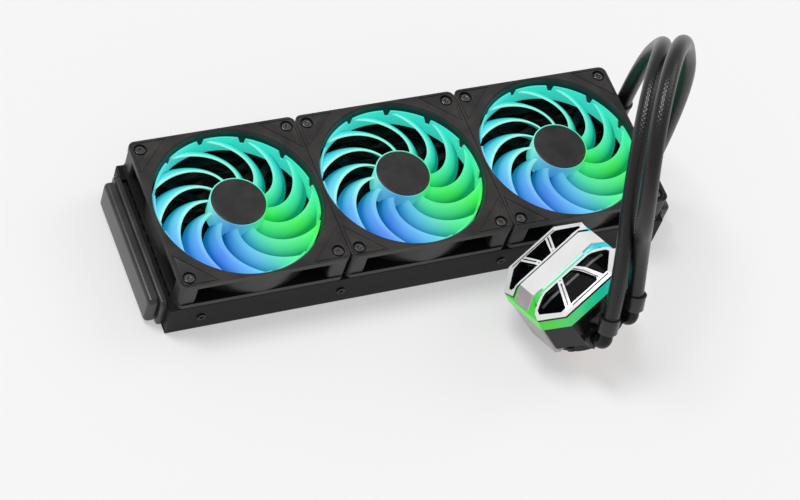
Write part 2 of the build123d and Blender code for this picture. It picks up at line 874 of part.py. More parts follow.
with BuildPart() as pump_shaft:
    with BuildSketch(Plane.XY.offset(jet_top)):
        Circle(pump_shaft_r)
    extrude(amount=can_top_z - can_wall - jet_top)
save_pump(pump_shaft.part, "impeller_shaft")

with BuildPart() as motor_can:
    with BuildSketch(Plane.XY.offset(can_ledge_z)):
        Circle(can_flange_r)
    extrude(amount=can_flange_t)
    with BuildSketch(Plane.XY.offset(can_ledge_z)):
        Circle(can_outer_r)
    extrude(amount=can_top_z - can_ledge_z)
    with BuildSketch(Plane.XY.offset(can_ledge_z)):
        Circle(can_inner_r)
    extrude(amount=can_top_z - can_wall - can_ledge_z, mode=Mode.SUBTRACT)
save_pump(motor_can.part, "motor_can")

with BuildPart() as pump_stator:
    with BuildSketch(Plane.XY.offset(stator_base)):
        Circle(pump_stator_r)
        Circle(pump_stator_r - pump_yoke, mode=Mode.SUBTRACT)
        with PolarLocations((can_outer_r + pump_stator_r) / 2, pump_stator_poles):
            Rectangle(pump_stator_r - can_outer_r - pump_yoke / 2, pump_pole)
        Circle(can_outer_r + seat_gap, mode=Mode.SUBTRACT)
    extrude(amount=pump_stator_h)
save_pump(pump_stator.part, "pump_stator")

with BuildPart() as pump_board:
    with BuildSketch(Plane.XY.offset(board_ledge_z)):
        Circle(board_ledge_r)
    extrude(amount=pump_board_t)
save_pump(pump_board.part, "pump_board")

# Cap: a flared light band under a roof that falls from the ridge to all eight sides
with BuildPart() as roof:
    with BuildSketch(Plane.XY.offset(band_z)):
        Polygon(*cap_octagon(band_flare), align=None)
    with BuildSketch(Plane.XY.offset(eave_z)):
        Polygon(*cap_octagon(0), align=None)
    loft(ruled=True)
    with BuildSketch(Plane.XY.offset(eave_z)):
        Polygon(*cap_octagon(0), align=None)
    with BuildSketch(Plane.XY.offset(crest_z)):
        Polygon(
            *octagon(crest_half_x, crest_half_y, crest_shoulder_x, crest_shoulder_y), align=None
        )
    loft(ruled=True)

front_outline = [
    (-lens_edge_x, -lens_edge_y),
    (lens_edge_x, -lens_edge_y),
    (front_tip_x, -front_tip_y),
    (cap_half_x, -cap_corner_y),
    (cap_corner_x, -cap_half_y),
    (-cap_corner_x, -cap_half_y),
    (-cap_half_x, -cap_corner_y),
    (-front_tip_x, -front_tip_y),
]
rear_outline = [
    (rear_tip_x, rear_tip_y),
    (cap_half_x, cap_corner_y),
    (cap_corner_x, cap_half_y),
    (-cap_corner_x, cap_half_y),
    (-cap_half_x, cap_corner_y),
    (-rear_tip_x, rear_tip_y),
    (-lens_edge_x, lens_edge_y),
    (lens_edge_x, lens_edge_y),
]
cap_height = crest_z - band_z

# Everything above a copy of the roof sunk by the frames' depth, within the frames' outlines
with BuildPart() as frame_space:
    with BuildSketch(Plane.XY.offset(band_z)):
        Polygon(*front_outline, align=None)
        Polygon(*rear_outline, align=None)
    extrude(amount=cap_height)
    with Locations((0, 0, -frame_sink)):
        add(roof.part, mode=Mode.SUBTRACT)

with BuildPart() as window_posts:
    with BuildSketch(Plane.XY.offset(band_z)):
        for corners in front_windows + rear_windows:
            Polygon(*corners, align=None)
    extrude(amount=cap_height + frame_proud)

with BuildPart() as window_frames:
    add(frame_space.part)
    with Locations((0, 0, frame_proud)):
        add(roof.part, mode=Mode.INTERSECT)
    add(window_posts.part, mode=Mode.SUBTRACT)
save_pump(window_frames.part, "window_frames")

# The panes lie below the frames, so that each window is a black recess
with BuildPart() as window_panes:
    add(window_posts.part)
    with Locations((0, 0, -frame_sink)):
        add(roof.part, mode=Mode.INTERSECT)
    with Locations((0, 0, -pane_sink)):
        add(roof.part, mode=Mode.SUBTRACT)
save_pump(window_panes.part, "window_panes")

with BuildPart() as light_guide:
    add(roof.part)
    add(frame_space.part, mode=Mode.SUBTRACT)
    add(window_panes.part, mode=Mode.SUBTRACT)
    with BuildSketch(Plane.XY.offset(band_z)):
        Polygon(*cap_octagon(-guide_pocket_inset), align=None)
    extrude(amount=guide_pocket_top - band_z, mode=Mode.SUBTRACT)
save_pump(light_guide.part, "light_guide")

with BuildPart() as centre_plate:
    with BuildSketch(Plane.XY.offset(band_z)):
        Rectangle(2 * plate_half_x, 2 * plate_half_y)
    extrude(amount=cap_height + plate_t)
    with Locations((0, 0, plate_t)):
        add(roof.part, mode=Mode.INTERSECT)
    add(roof.part, mode=Mode.SUBTRACT)
save_pump(centre_plate.part, "centre_plate")



def panel_corners(reach, width):
    """Plan of an end panel, whose outer corners are cut off."""
    return [
        (end_panel_root_x, -width / 2),
        (reach - end_panel_bevel, -width / 2),
        (reach, -width / 2 + end_panel_bevel),
        (reach, width / 2 - end_panel_bevel),
        (reach - end_panel_bevel, width / 2),
        (end_panel_root_x, width / 2),
    ]


# Panels on the two narrow ends of the body
with BuildPart() as end_panels:
    with BuildSketch(Plane.XY.offset(end_panel_foot_z)):
        Polygon(*panel_corners(end_panel_foot_x, end_panel_foot), align=None)
    with BuildSketch(Plane.XY.offset(band_z)):
        Polygon(*panel_corners(end_panel_top_x, end_panel_top), align=None)
    loft(ruled=True)
    add(body_form.part, mode=Mode.SUBTRACT)
    mirror(about=Plane.YZ)
save_pump(end_panels.part, "end_panels")

# Spring clips that keep the elbows in their collars
with BuildPart() as port_clips:
    with BuildSketch(Plane.XZ.offset(port_collar_y)):
        with Locations(collar_places):
            Circle(port_collar_r)
            Circle(elbow_r + touch_gap, mode=Mode.SUBTRACT)
        with Locations([(x, port_z - port_collar_r) for x in port_xs]):
            Rectangle(2 * elbow_r, 2 * port_collar_r, mode=Mode.SUBTRACT)
    extrude(amount=port_clip_t)
save_pump(port_clips.part, "port_clips")

with BuildPart() as elbow_seals:
    with BuildSketch(Plane.XZ.offset(seal_y)):
        with Locations(collar_places):
            Circle(elbow_r + seal_section)
            Circle(elbow_r + seat_gap, mode=Mode.SUBTRACT)
    extrude(amount=seal_section, both=True)
save_pump(elbow_seals.part, "elbow_seals")

# Ferrule: a crimped sleeve with a bevelled foot and a lip on top, made about the hose's axis
lip_r = hose_r + ferrule_wall + ferrule_lip
sleeve_r = hose_r + ferrule_wall

with BuildPart() as ferrule:
    with BuildSketch(Plane.XZ):
        with BuildLine():
            Polyline(
                (hose_r, 0),
                (sleeve_r - ferrule_bevel, 0),
                (sleeve_r, ferrule_bevel),
                (sleeve_r, ferrule_length - ferrule_lip_h),
                (lip_r, ferrule_length - ferrule_lip_h),
                (lip_r, ferrule_length),
                (hose_r, ferrule_length),
                close=True,
            )
        make_face()
    revolve(axis=Axis.Z)

with BuildPart() as radiator_ferrules:
    with Locations((port_x, port_front_y, port_boss_top), (port_x, port_rear_y, port_boss_top)):
        add(ferrule.part)
save(radiator_ferrules.part, "radiator_ferrules")

elbow_angles = {"front": elbow_front_angle, "rear": elbow_rear_angle}
hose_starts = {}
hose_ways = {}

for (name, angle), x in zip(elbow_angles.items(), port_xs):
    lean = radians(angle)
    way = Vector(sin(lean), 0, cos(lean))
    corner = Vector(x, -elbow_y, port_z)
    root = Vector(x, -elbow_root_y, port_z)
    seat = corner + way * elbow_seat
    stub = corner + way * (elbow_seat + elbow_spigot)

    # Elbow: a bent tube from the port to the ferrule, ending in the spigot that the hose meets
    with BuildPart() as elbow:
        with BuildLine():
            FilletPolyline(root, corner, stub, radius=elbow_bend)
        with BuildSketch(Plane(origin=root, z_dir=corner - root)):
            Circle(elbow_r)
            Circle(elbow_bore_r, mode=Mode.SUBTRACT)
        sweep()
        with BuildSketch(Plane(origin=seat, z_dir=way)):
            Circle(hose_r)
            Circle(elbow_bore_r, mode=Mode.SUBTRACT)
        extrude(amount=elbow_spigot)
    save_pump(elbow.part, f"elbow_{name}")

    seat_place = Plane(origin=seat, z_dir=way).location
    save_pump(ferrule.part.moved(seat_place), f"pump_ferrule_{name}")
    hose_starts[name] = pump_plane.from_local_coords(stub)
    hose_ways[name] = (pump_plane.from_local_coords(corner + way * 2) - pump_plane.from_local_coords(corner)) / 2

# Hoses: from each elbow up, over and down to its port on the radiator
hose_middle = {
    "front": [
        (pump_x + 2.14, pump_y + 12.91, 136.5),
        (pump_x + 23.64, pump_y + 56.41, 172.0),
        (port_x - 40.0, port_front_y - 56.5, 173.5),
        (port_x - 15.5, port_front_y - 28.5, 149.5),
        (port_x, port_front_y, 90.0),
        (port_x, port_front_y, hose_seat_z),
    ],
    "rear": [
        (pump_x - 3.36, pump_y - 14.09, 153.5),
        (pump_x + 1.14, pump_y + 15.41, 200.5),
        (port_x - 58.5, port_rear_y - 36.5, 215.0),
        (port_x - 24.0, port_rear_y - 1.5, 187.0),
        (port_x, port_rear_y, 125.0),
        (port_x, port_rear_y, hose_seat_z),
    ],
}
first_runs = {"front": hose_front_rise, "rear": hose_rear_rise}

for name, middle in hose_middle.items():
    start = hose_starts[name]
    route = [start, start + hose_ways[name] * first_runs[name]] + [Vector(*p) for p in middle]
    runs = [b - a for a, b in zip(route, route[1:])]
    bends = []
    for run, following in zip(runs, runs[1:]):
        turn = radians(run.get_angle(following))
        bends.append(bend_share * min(run.length, following.length) / tan(turn / 2))
    with BuildPart() as hose:
        with BuildLine() as centre_line:
            FilletPolyline(*route, radius=bends)
        with BuildSketch(Plane(origin=route[0], z_dir=runs[0])):
            Circle(hose_r)
            Circle(hose_bore_r, mode=Mode.SUBTRACT)
        sweep()
    save(hose.part, f"hose_{name}")
    length = centre_line.wires()[0].length
    section = pi * (hose_r**2 - hose_bore_r**2)
    print(f"hose_{name} bend radii", [round(bend) for bend in bends])
    print(f"hose_{name} length {length:.1f}, volume over section {hose.part.volume / section:.1f}")
    print(f"hose_{name} route", [tuple(round(c, 2) for c in point) for point in route])
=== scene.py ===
"""Looks and finer pieces of an all in one liquid cooler, built over its fixed frame."""
import math
from functools import partial

import bmesh
import bpy
from bpy.props import FloatProperty, FloatVectorProperty, IntProperty, PointerProperty
from bpy.types import Operator, Panel, PropertyGroup
from mathutils import Matrix, Vector
from mathutils.bvhtree import BVHTree


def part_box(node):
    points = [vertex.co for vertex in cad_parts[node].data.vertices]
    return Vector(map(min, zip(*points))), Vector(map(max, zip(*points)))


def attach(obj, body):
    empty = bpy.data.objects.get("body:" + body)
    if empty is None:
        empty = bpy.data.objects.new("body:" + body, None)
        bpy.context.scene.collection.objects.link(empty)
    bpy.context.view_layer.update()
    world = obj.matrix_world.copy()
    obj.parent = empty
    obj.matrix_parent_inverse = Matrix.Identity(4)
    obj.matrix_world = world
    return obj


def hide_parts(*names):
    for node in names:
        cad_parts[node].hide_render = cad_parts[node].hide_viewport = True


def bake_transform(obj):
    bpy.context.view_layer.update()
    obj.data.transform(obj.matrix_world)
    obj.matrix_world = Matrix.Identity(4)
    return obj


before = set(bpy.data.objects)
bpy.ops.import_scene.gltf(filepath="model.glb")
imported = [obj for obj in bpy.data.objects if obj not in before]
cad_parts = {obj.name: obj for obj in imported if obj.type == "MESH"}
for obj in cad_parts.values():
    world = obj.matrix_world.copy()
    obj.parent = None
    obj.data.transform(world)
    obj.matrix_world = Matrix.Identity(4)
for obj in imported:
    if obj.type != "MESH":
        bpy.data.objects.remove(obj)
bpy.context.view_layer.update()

bl_info = {
    "name": "Liquid cooler looks",
    "version": (1, 0, 0),
    "blender": (4, 5, 0),
    "location": "View3D > Sidebar > Cooler",
    "description": "Materials and finer pieces for an all in one liquid cooler",
    "category": "Object",
}

MM = 0.001
SIDES = ("left", "middle", "right")
COOLER = "cooler"


# Places that come from the frame

def node_box(name):
    """Lowest and highest corner of a frame node as vectors."""
    low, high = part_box(name)
    return Vector(low), Vector(high)


def fan_axis(side):
    """Centre of a fan on the floor plane, taken from its frame."""
    low, high = node_box(f"fan_{side}_frame")
    middle = (low + high) / 2
    return Vector((middle.x, middle.y, 0.0))


FAN_BOTTOM, FAN_TOP = (corner.z for corner in node_box("fan_middle_frame"))

# Pose of the pump head: its ridge, the way its cap faces and its foot
PUMP_RIDGE = Vector((0.8324, 0.3362, 0.4407)).normalized()
PUMP_UP = Vector((-0.5273, 0.2355, 0.8164)).normalized()
PUMP_SIDE = PUMP_UP.cross(PUMP_RIDGE).normalized()
PUMP_ORIGIN = Vector((0.10037, -0.11591, 0.01738))

# Routes of the hoses, as control points of their splines
HOSE_ROUTES = {
    "front": (
        (0.09168, -0.15021, 0.05275),
        (0.09619, -0.13792, 0.08375),
        (0.10208, -0.10282, 0.13636),
        (0.12159, -0.05853, 0.17137),
        (0.14688, -0.02207, 0.17322),
        (0.1725, 0.0055, 0.1495),
        (0.1880, 0.0340, 0.0900),
        (0.1880, 0.0340, 0.0370),
    ),
    "rear": (
        (0.11143, -0.14217, 0.06335),
        (0.11159, -0.12484, 0.10153),
        (0.09580, -0.12949, 0.15319),
        (0.10066, -0.10018, 0.20029),
        (0.12864, -0.05417, 0.21479),
        (0.1640, -0.0195, 0.1870),
        (0.1880, -0.0180, 0.1250),
        (0.1880, -0.0180, 0.0370),
    ),
}
HOSE_AROUND = 28
ROUTE_STEPS = 24


class CoolerSizes(PropertyGroup):
    """Sizes that a user would change."""

    edge_round: FloatProperty(
        name="Edge rounding", description="Radius on the moulded edges",
        default=0.45 * MM, subtype="DISTANCE", unit="LENGTH")
    metal_round: FloatProperty(
        name="Metal edge rounding", description="Radius on folded and machined edges",
        default=0.3 * MM, subtype="DISTANCE", unit="LENGTH")
    hose_diameter: FloatProperty(
        name="Hose diameter", description="Outside diameter of a sleeved hose",
        default=11.6 * MM, subtype="DISTANCE", unit="LENGTH")
    blade_thickness: FloatProperty(
        name="Blade thickness", description="Thickness of a fan blade",
        default=0.9 * MM, subtype="DISTANCE", unit="LENGTH")
    blade_count: IntProperty(
        name="Blades", description="Blades on each rotor", default=12)


class CoolerColours(PropertyGroup):
    """Colours that a user would change."""

    black_plastic: FloatVectorProperty(
        name="Black plastic", description="Fan frames",
        subtype="COLOR", size=3, default=(0.024, 0.022, 0.021))
    black_gloss: FloatVectorProperty(
        name="Black gloss", description="Pump body and elbows",
        subtype="COLOR", size=3, default=(0.009, 0.009, 0.010))
    black_metal: FloatVectorProperty(
        name="Black metal", description="Rails, tanks and core",
        subtype="COLOR", size=3, default=(0.009, 0.009, 0.009))
    teal_light: FloatVectorProperty(
        name="Teal light", description="Fan light at the back",
        subtype="COLOR", size=3, default=(0.055, 0.78, 0.64))
    green_light: FloatVectorProperty(
        name="Green light", description="Fan light at the right",
        subtype="COLOR", size=3, default=(0.07, 0.90, 0.12))
    blue_light: FloatVectorProperty(
        name="Blue light", description="Fan light at the front",
        subtype="COLOR", size=3, default=(0.105, 0.31, 0.94))
    cyan_light: FloatVectorProperty(
        name="Cyan light", description="Fan light at the left",
        subtype="COLOR", size=3, default=(0.19, 0.70, 0.88))
    cap_near_light: FloatVectorProperty(
        name="Cap light, near end", description="Light of the cap at the ridge's near end",
        subtype="COLOR", size=3, default=(0.07, 0.72, 0.05))
    cap_middle_light: FloatVectorProperty(
        name="Cap light, middle", description="Light of the cap half way along the ridge",
        subtype="COLOR", size=3, default=(0.02, 0.75, 0.38))
    cap_far_light: FloatVectorProperty(
        name="Cap light, far end", description="Light of the cap at the ridge's far end",
        subtype="COLOR", size=3, default=(0.01, 0.68, 0.85))
    bright_trim: FloatVectorProperty(
        name="Bright trim", description="Window frames and centre plate",
        subtype="COLOR", size=3, default=(0.90, 0.89, 0.90))


# Materials

# Grain in a finish: its depth, how far the gloss drifts and where the tone turns from dark to light
GRAIN_DEPTH = 0.2 * MM
GLOSS_DRIFT = 0.06
TONE_TURN = (0.3, 0.7)

# Light of the rotors between the cyan at either end of a turn: the angle about the hub in degrees,
# the two settings that its colour lies between, and how far along
BLADE_LIGHT = (
    (-158, "cyan_light", "blue_light", 0.6),
    (-122, "blue_light", "blue_light", 0.0),
    (-92, "blue_light", "cyan_light", 0.6),
    (-65, "cyan_light", "green_light", 0.65),
    (-30, "green_light", "green_light", 0.0),
    (0, "green_light", "teal_light", 0.55),
    (35, "teal_light", "teal_light", 0.0),
    (100, "teal_light", "teal_light", 0.0),
    (150, "teal_light", "cyan_light", 0.5),
)
# Tint of the light round the hub, how far it reaches and its share there, and the tint of the painted shade
# where a blade dips behind the next one
GLOW_END = 46 * MM
GLOW_SHARE = 0.75
GLOW_TINT = (0.35, 1.0, 0.7)
PAINTED_SHADE_TINT = (0.05, 0.38, 0.5)
# Painted highlight on the blades' edges and the hub's rim: its colour, its share at both ends of the turn,
# and the angle about the hub in degrees with the share there
PAINTED_HIGHLIGHT_COLOUR = (0.42, 0.92, 0.80)
HIGHLIGHT_AT_ENDS = 0.8
HIGHLIGHT_SHARES = ((-155, 0.3), (-100, 0.1), (0, 0.1), (60, 0.6), (120, 0.9))

# Reach to both sides of the ridge's middle of the cap's light, the end panels' fade from silver into painted
# shade and the clear edge's light, with the place of the cap's middle light and the colours that the panel
# doesn't set
CAP_LIGHT_REACH = 30 * MM
END_SHADE_REACH = 5 * MM
EDGE_REACH = 20 * MM
CAP_MIDDLE = 0.55
END_PAINTED_SHADE = (0.012, 0.012, 0.013)
EDGE_NEAR = (0.70, 0.95, 0.78)
EDGE_FAR = (0.60, 0.95, 0.90)

# Sleeving: the way its strands slant in degrees, how fine they are, and its tone
BRAID_SLANT = 35
BRAID_SCALE = 7.0
BRAID_DEPTH = 0.4 * MM
BRAID_DARK = (0.002, 0.002, 0.002, 1)
BRAID_LIGHT = (0.013, 0.012, 0.012, 1)


def as_colour(colour):
    """A colour as it is given, or the panel's setting of that name."""
    if isinstance(colour, str):
        return tuple(getattr(bpy.context.scene.cooler_colours, colour))
    return colour


def node(tree, kind, **values):
    """Add a shader node and set its properties and named inputs."""
    made = tree.nodes.new(kind)
    for name, value in values.items():
        if hasattr(made, name):
            setattr(made, name, value)
        else:
            made.inputs[name.replace("_", " ")].default_value = value
    return made


def start_material(name):
    """A fresh node material and its shader."""
    material = bpy.data.materials.new(name)
    material.use_nodes = True
    return material, material.node_tree, material.node_tree.nodes["Principled BSDF"]


def grained(name, colour, roughness, metallic=0.0, grain_scale=1500.0, grain=0.12,
            drift=0.25, sheen_scale=45.0, coat=0.0, specular=0.5, stretch=(1.0, 1.0, 1.0)):
    """A finish with fine grain in its surface and slow drift in tone and gloss."""
    material, tree, shader = start_material(name)
    colour = as_colour(colour)
    shader.inputs["Specular IOR Level"].default_value = specular
    shader.inputs["Metallic"].default_value = metallic
    shader.inputs["Coat Weight"].default_value = coat
    place = node(tree, "ShaderNodeTexCoord")
    slow = node(tree, "ShaderNodeTexNoise", Scale=sheen_scale, Detail=3.0)
    fine = node(tree, "ShaderNodeTexNoise", Scale=grain_scale, Detail=2.0)
    across = node(tree, "ShaderNodeMapping")
    across.inputs["Scale"].default_value = stretch
    tree.links.new(place.outputs["Object"], slow.inputs["Vector"])
    tree.links.new(place.outputs["Object"], across.inputs["Vector"])
    tree.links.new(across.outputs["Vector"], fine.inputs["Vector"])
    tone = node(tree, "ShaderNodeValToRGB")
    dark = [c * (1 - drift) for c in colour]
    light = [min(1.0, c * (1 + drift)) for c in colour]
    for mark, position, shade in zip(tone.color_ramp.elements, TONE_TURN, (dark, light)):
        mark.position = position
        mark.color = (*shade, 1)
    tree.links.new(slow.outputs["Fac"], tone.inputs["Fac"])
    tree.links.new(tone.outputs["Color"], shader.inputs["Base Color"])
    gloss = node(tree, "ShaderNodeMapRange")
    gloss.inputs["To Min"].default_value = max(0.02, roughness - GLOSS_DRIFT)
    gloss.inputs["To Max"].default_value = min(1.0, roughness + GLOSS_DRIFT)
    tree.links.new(slow.outputs["Fac"], gloss.inputs["Value"])
    tree.links.new(gloss.outputs["Result"], shader.inputs["Roughness"])
    bump = node(tree, "ShaderNodeBump", Strength=grain, Distance=GRAIN_DEPTH)
    tree.links.new(fine.outputs["Fac"], bump.inputs["Height"])
    tree.links.new(bump.outputs["Normal"], shader.inputs["Normal"])
    return material


def brushed(name, colour, roughness, stretch=(1.0, 40.0, 1.0), scale=300.0):
    """Metal with fine parallel brushing."""
    return grained(name, colour, roughness, metallic=1.0, grain_scale=scale, drift=0.08, stretch=stretch)


def mix_colour(tree, factor, first, second):
    """Mix two colours, either of which may be a socket."""
    mix = node(tree, "ShaderNodeMix", data_type="RGBA")
    for socket, value in ((mix.inputs[0], factor), (mix.inputs[6], first), (mix.inputs[7], second)):
        if hasattr(value, "links"):
            tree.links.new(value, socket)
        elif isinstance(value, (int, float)):
            socket.default_value = value
        else:
            socket.default_value = (*value, 1)
    return mix.outputs[2]


def mixed(first, second, share):
    """Colour that is a share of the way from one to another."""
    return tuple(a + (b - a) * share for a, b in zip(first, second))


def shaded(tree, shader, colour, glow, share):
    """Send a colour to a shader as its glow, and a share of it as its own colour."""
    own = mix_colour(tree, share, (0, 0, 0), colour)
    tree.links.new(own, shader.inputs["Base Color"])
    tree.links.new(colour, shader.inputs["Emission Color"])
    shader.inputs["Emission Strength"].default_value = glow


def tinted(tree, factor, colour, tint):
    """Multiply a colour by a tint as far as a factor says."""
    mix = node(tree, "ShaderNodeMix", data_type="RGBA", blend_type="MULTIPLY")
    mix.inputs[7].default_value = (*tint, 1)
    tree.links.new(factor, mix.inputs[0])
    tree.links.new(colour, mix.inputs[6])
    return mix.outputs[2]


def about_hub(tree, side):
    """The way round a fan's hub, 0 to 1 for a turn, and the distance from its axis."""
    place = node(tree, "ShaderNodeTexCoord")
    shift = node(tree, "ShaderNodeMapping")
    shift.inputs["Location"].default_value = -fan_axis(side)
    tree.links.new(place.outputs["Object"], shift.inputs["Vector"])
    flat = node(tree, "ShaderNodeVectorMath", operation="MULTIPLY")
    flat.inputs[1].default_value = (1, 1, 0)
    tree.links.new(shift.outputs["Vector"], flat.inputs[0])
    around = node(tree, "ShaderNodeTexGradient", gradient_type="RADIAL")
    tree.links.new(flat.outputs["Vector"], around.inputs["Vector"])
    reach = node(tree, "ShaderNodeVectorMath", operation="LENGTH")
    tree.links.new(flat.outputs["Vector"], reach.inputs[0])
    return around.outputs["Fac"], reach.outputs["Value"]


def colour_round(tree, around, ends, marks):
    """Colour by the way round a hub: one at both ends of the turn, and others at angles between them."""
    tone = node(tree, "ShaderNodeValToRGB")
    stops = tone.color_ramp.elements
    for angle, colour in marks:
        stops.new(angle / 360 + 0.5).color = (*colour, 1)
    stops[0].color = stops[-1].color = (*ends, 1)
    tree.links.new(around, tone.inputs["Fac"])
    return tone.outputs["Color"]


def lit_blades(name, side):
    """Milky plastic, lit round the hub from teal through green and blue back to teal."""
    material, tree, shader = start_material(name)
    around, reach = about_hub(tree, side)
    marks = [(angle, mixed(as_colour(first), as_colour(second), share))
             for angle, first, second, share in BLADE_LIGHT]
    colour = colour_round(tree, around, as_colour("cyan_light"), marks)
    # Stronger near the hub, where the lamps are
    near = node(tree, "ShaderNodeMapRange", interpolation_type="SMOOTHSTEP")
    near.inputs["From Min"].default_value = GLOW_END
    near.inputs["From Max"].default_value = HUB_R * MM
    near.inputs["To Max"].default_value = GLOW_SHARE
    tree.links.new(reach, near.inputs["Value"])
    colour = tinted(tree, near.outputs["Result"], colour, GLOW_TINT)
    # Painted shade, deeper where a blade dips behind the next one
    shade_attribute = node(tree, "ShaderNodeAttribute", attribute_name="depth")
    colour = tinted(tree, shade_attribute.outputs["Fac"], colour, PAINTED_SHADE_TINT)
    # Painted highlight, paler along the leading edges on the teal side, and round the hub's rim
    edge = node(tree, "ShaderNodeAttribute", attribute_name="paleness")
    marks = [(angle, (share,) * 3) for angle, share in HIGHLIGHT_SHARES]
    highlight_side = colour_round(tree, around, (HIGHLIGHT_AT_ENDS,) * 3, marks)
    paleness = node(tree, "ShaderNodeMath", operation="MULTIPLY")
    tree.links.new(edge.outputs["Fac"], paleness.inputs[0])
    tree.links.new(highlight_side, paleness.inputs[1])
    colour = mix_colour(tree, paleness.outputs["Value"], colour, PAINTED_HIGHLIGHT_COLOUR)
    shaded(tree, shader, colour, glow=0.55, share=0.6)
    shader.inputs["Roughness"].default_value = 0.5
    shader.inputs["Specular IOR Level"].default_value = 0.25
    return material


def along_ridge(tree, reach):
    """Place along the pump head's ridge: 0 at reach before its middle, and 1 at reach past it."""
    place = node(tree, "ShaderNodeTexCoord")
    along = node(tree, "ShaderNodeVectorMath", operation="DOT_PRODUCT")
    along.inputs[1].default_value = PUMP_RIDGE
    tree.links.new(place.outputs["Object"], along.inputs[0])
    middle = PUMP_ORIGIN.dot(PUMP_RIDGE)
    ramp = node(tree, "ShaderNodeMapRange")
    ramp.inputs["From Min"].default_value = middle - reach
    ramp.inputs["From Max"].default_value = middle + reach
    tree.links.new(along.outputs["Value"], ramp.inputs["Value"])
    return ramp.outputs["Result"]


def lit_cap(name):
    """Light guide of the cap: green at the near end of the ridge and cyan at the far end."""
    material, tree, shader = start_material(name)
    tone = node(tree, "ShaderNodeValToRGB")
    stops = tone.color_ramp.elements
    stops[0].color = (*as_colour("cap_near_light"), 1)
    stops[1].color = (*as_colour("cap_far_light"), 1)
    stops.new(CAP_MIDDLE).color = (*as_colour("cap_middle_light"), 1)
    tree.links.new(along_ridge(tree, CAP_LIGHT_REACH), tone.inputs["Fac"])
    shaded(tree, shader, tone.outputs["Color"], glow=0.5, share=0.45)
    shader.inputs["Roughness"].default_value = 0.25
    return material


def end_grey(name):
    """Satin silver at the pump head's near end, darkened by painted shade at its far end."""
    material = grained(name, (0.48, 0.45, 0.46), 0.3, grain=0.08, drift=0.15)
    tree = material.node_tree
    shader = tree.nodes["Principled BSDF"]
    silver = shader.inputs["Base Color"].links[0].from_socket
    # Painted shade darkens the far end
    colour = mix_colour(tree, along_ridge(tree, END_SHADE_REACH), silver, END_PAINTED_SHADE)
    tree.links.new(colour, shader.inputs["Base Color"])
    return material


def mint_edge(name):
    """Clear edge of the centre plate, which carries the cap's light."""
    material, tree, shader = start_material(name)
    colour = mix_colour(tree, along_ridge(tree, EDGE_REACH), EDGE_NEAR, EDGE_FAR)
    shaded(tree, shader, colour, glow=0.35, share=0.7)
    shader.inputs["Roughness"].default_value = 0.2
    return material


def braided(name):
    """Black sleeving of crossed strands, laid out on the hose's own map."""
    material, tree, shader = start_material(name)
    place = node(tree, "ShaderNodeUVMap", uv_map="UVMap")
    heights = []
    for slant in (1, -1):
        turn = node(tree, "ShaderNodeMapping")
        turn.inputs["Rotation"].default_value = (0, 0, slant * math.radians(BRAID_SLANT))
        tree.links.new(place.outputs["UV"], turn.inputs["Vector"])
        strands = node(tree, "ShaderNodeTexWave", wave_type="BANDS", Scale=BRAID_SCALE, Distortion=0.0)
        tree.links.new(turn.outputs["Vector"], strands.inputs["Vector"])
        heights.append(strands.outputs["Fac"])
    top = node(tree, "ShaderNodeMath", operation="MAXIMUM")
    tree.links.new(heights[0], top.inputs[0])
    tree.links.new(heights[1], top.inputs[1])
    bump = node(tree, "ShaderNodeBump", Strength=0.3, Distance=BRAID_DEPTH)
    tree.links.new(top.outputs["Value"], bump.inputs["Height"])
    tree.links.new(bump.outputs["Normal"], shader.inputs["Normal"])
    tone = node(tree, "ShaderNodeValToRGB")
    tone.color_ramp.elements[0].color = BRAID_DARK
    tone.color_ramp.elements[1].color = BRAID_LIGHT
    tree.links.new(top.outputs["Value"], tone.inputs["Fac"])
    tree.links.new(tone.outputs["Color"], shader.inputs["Base Color"])
    shader.inputs["Roughness"].default_value = 0.27
    shader.inputs["Specular IOR Level"].default_value = 0.5
    return material


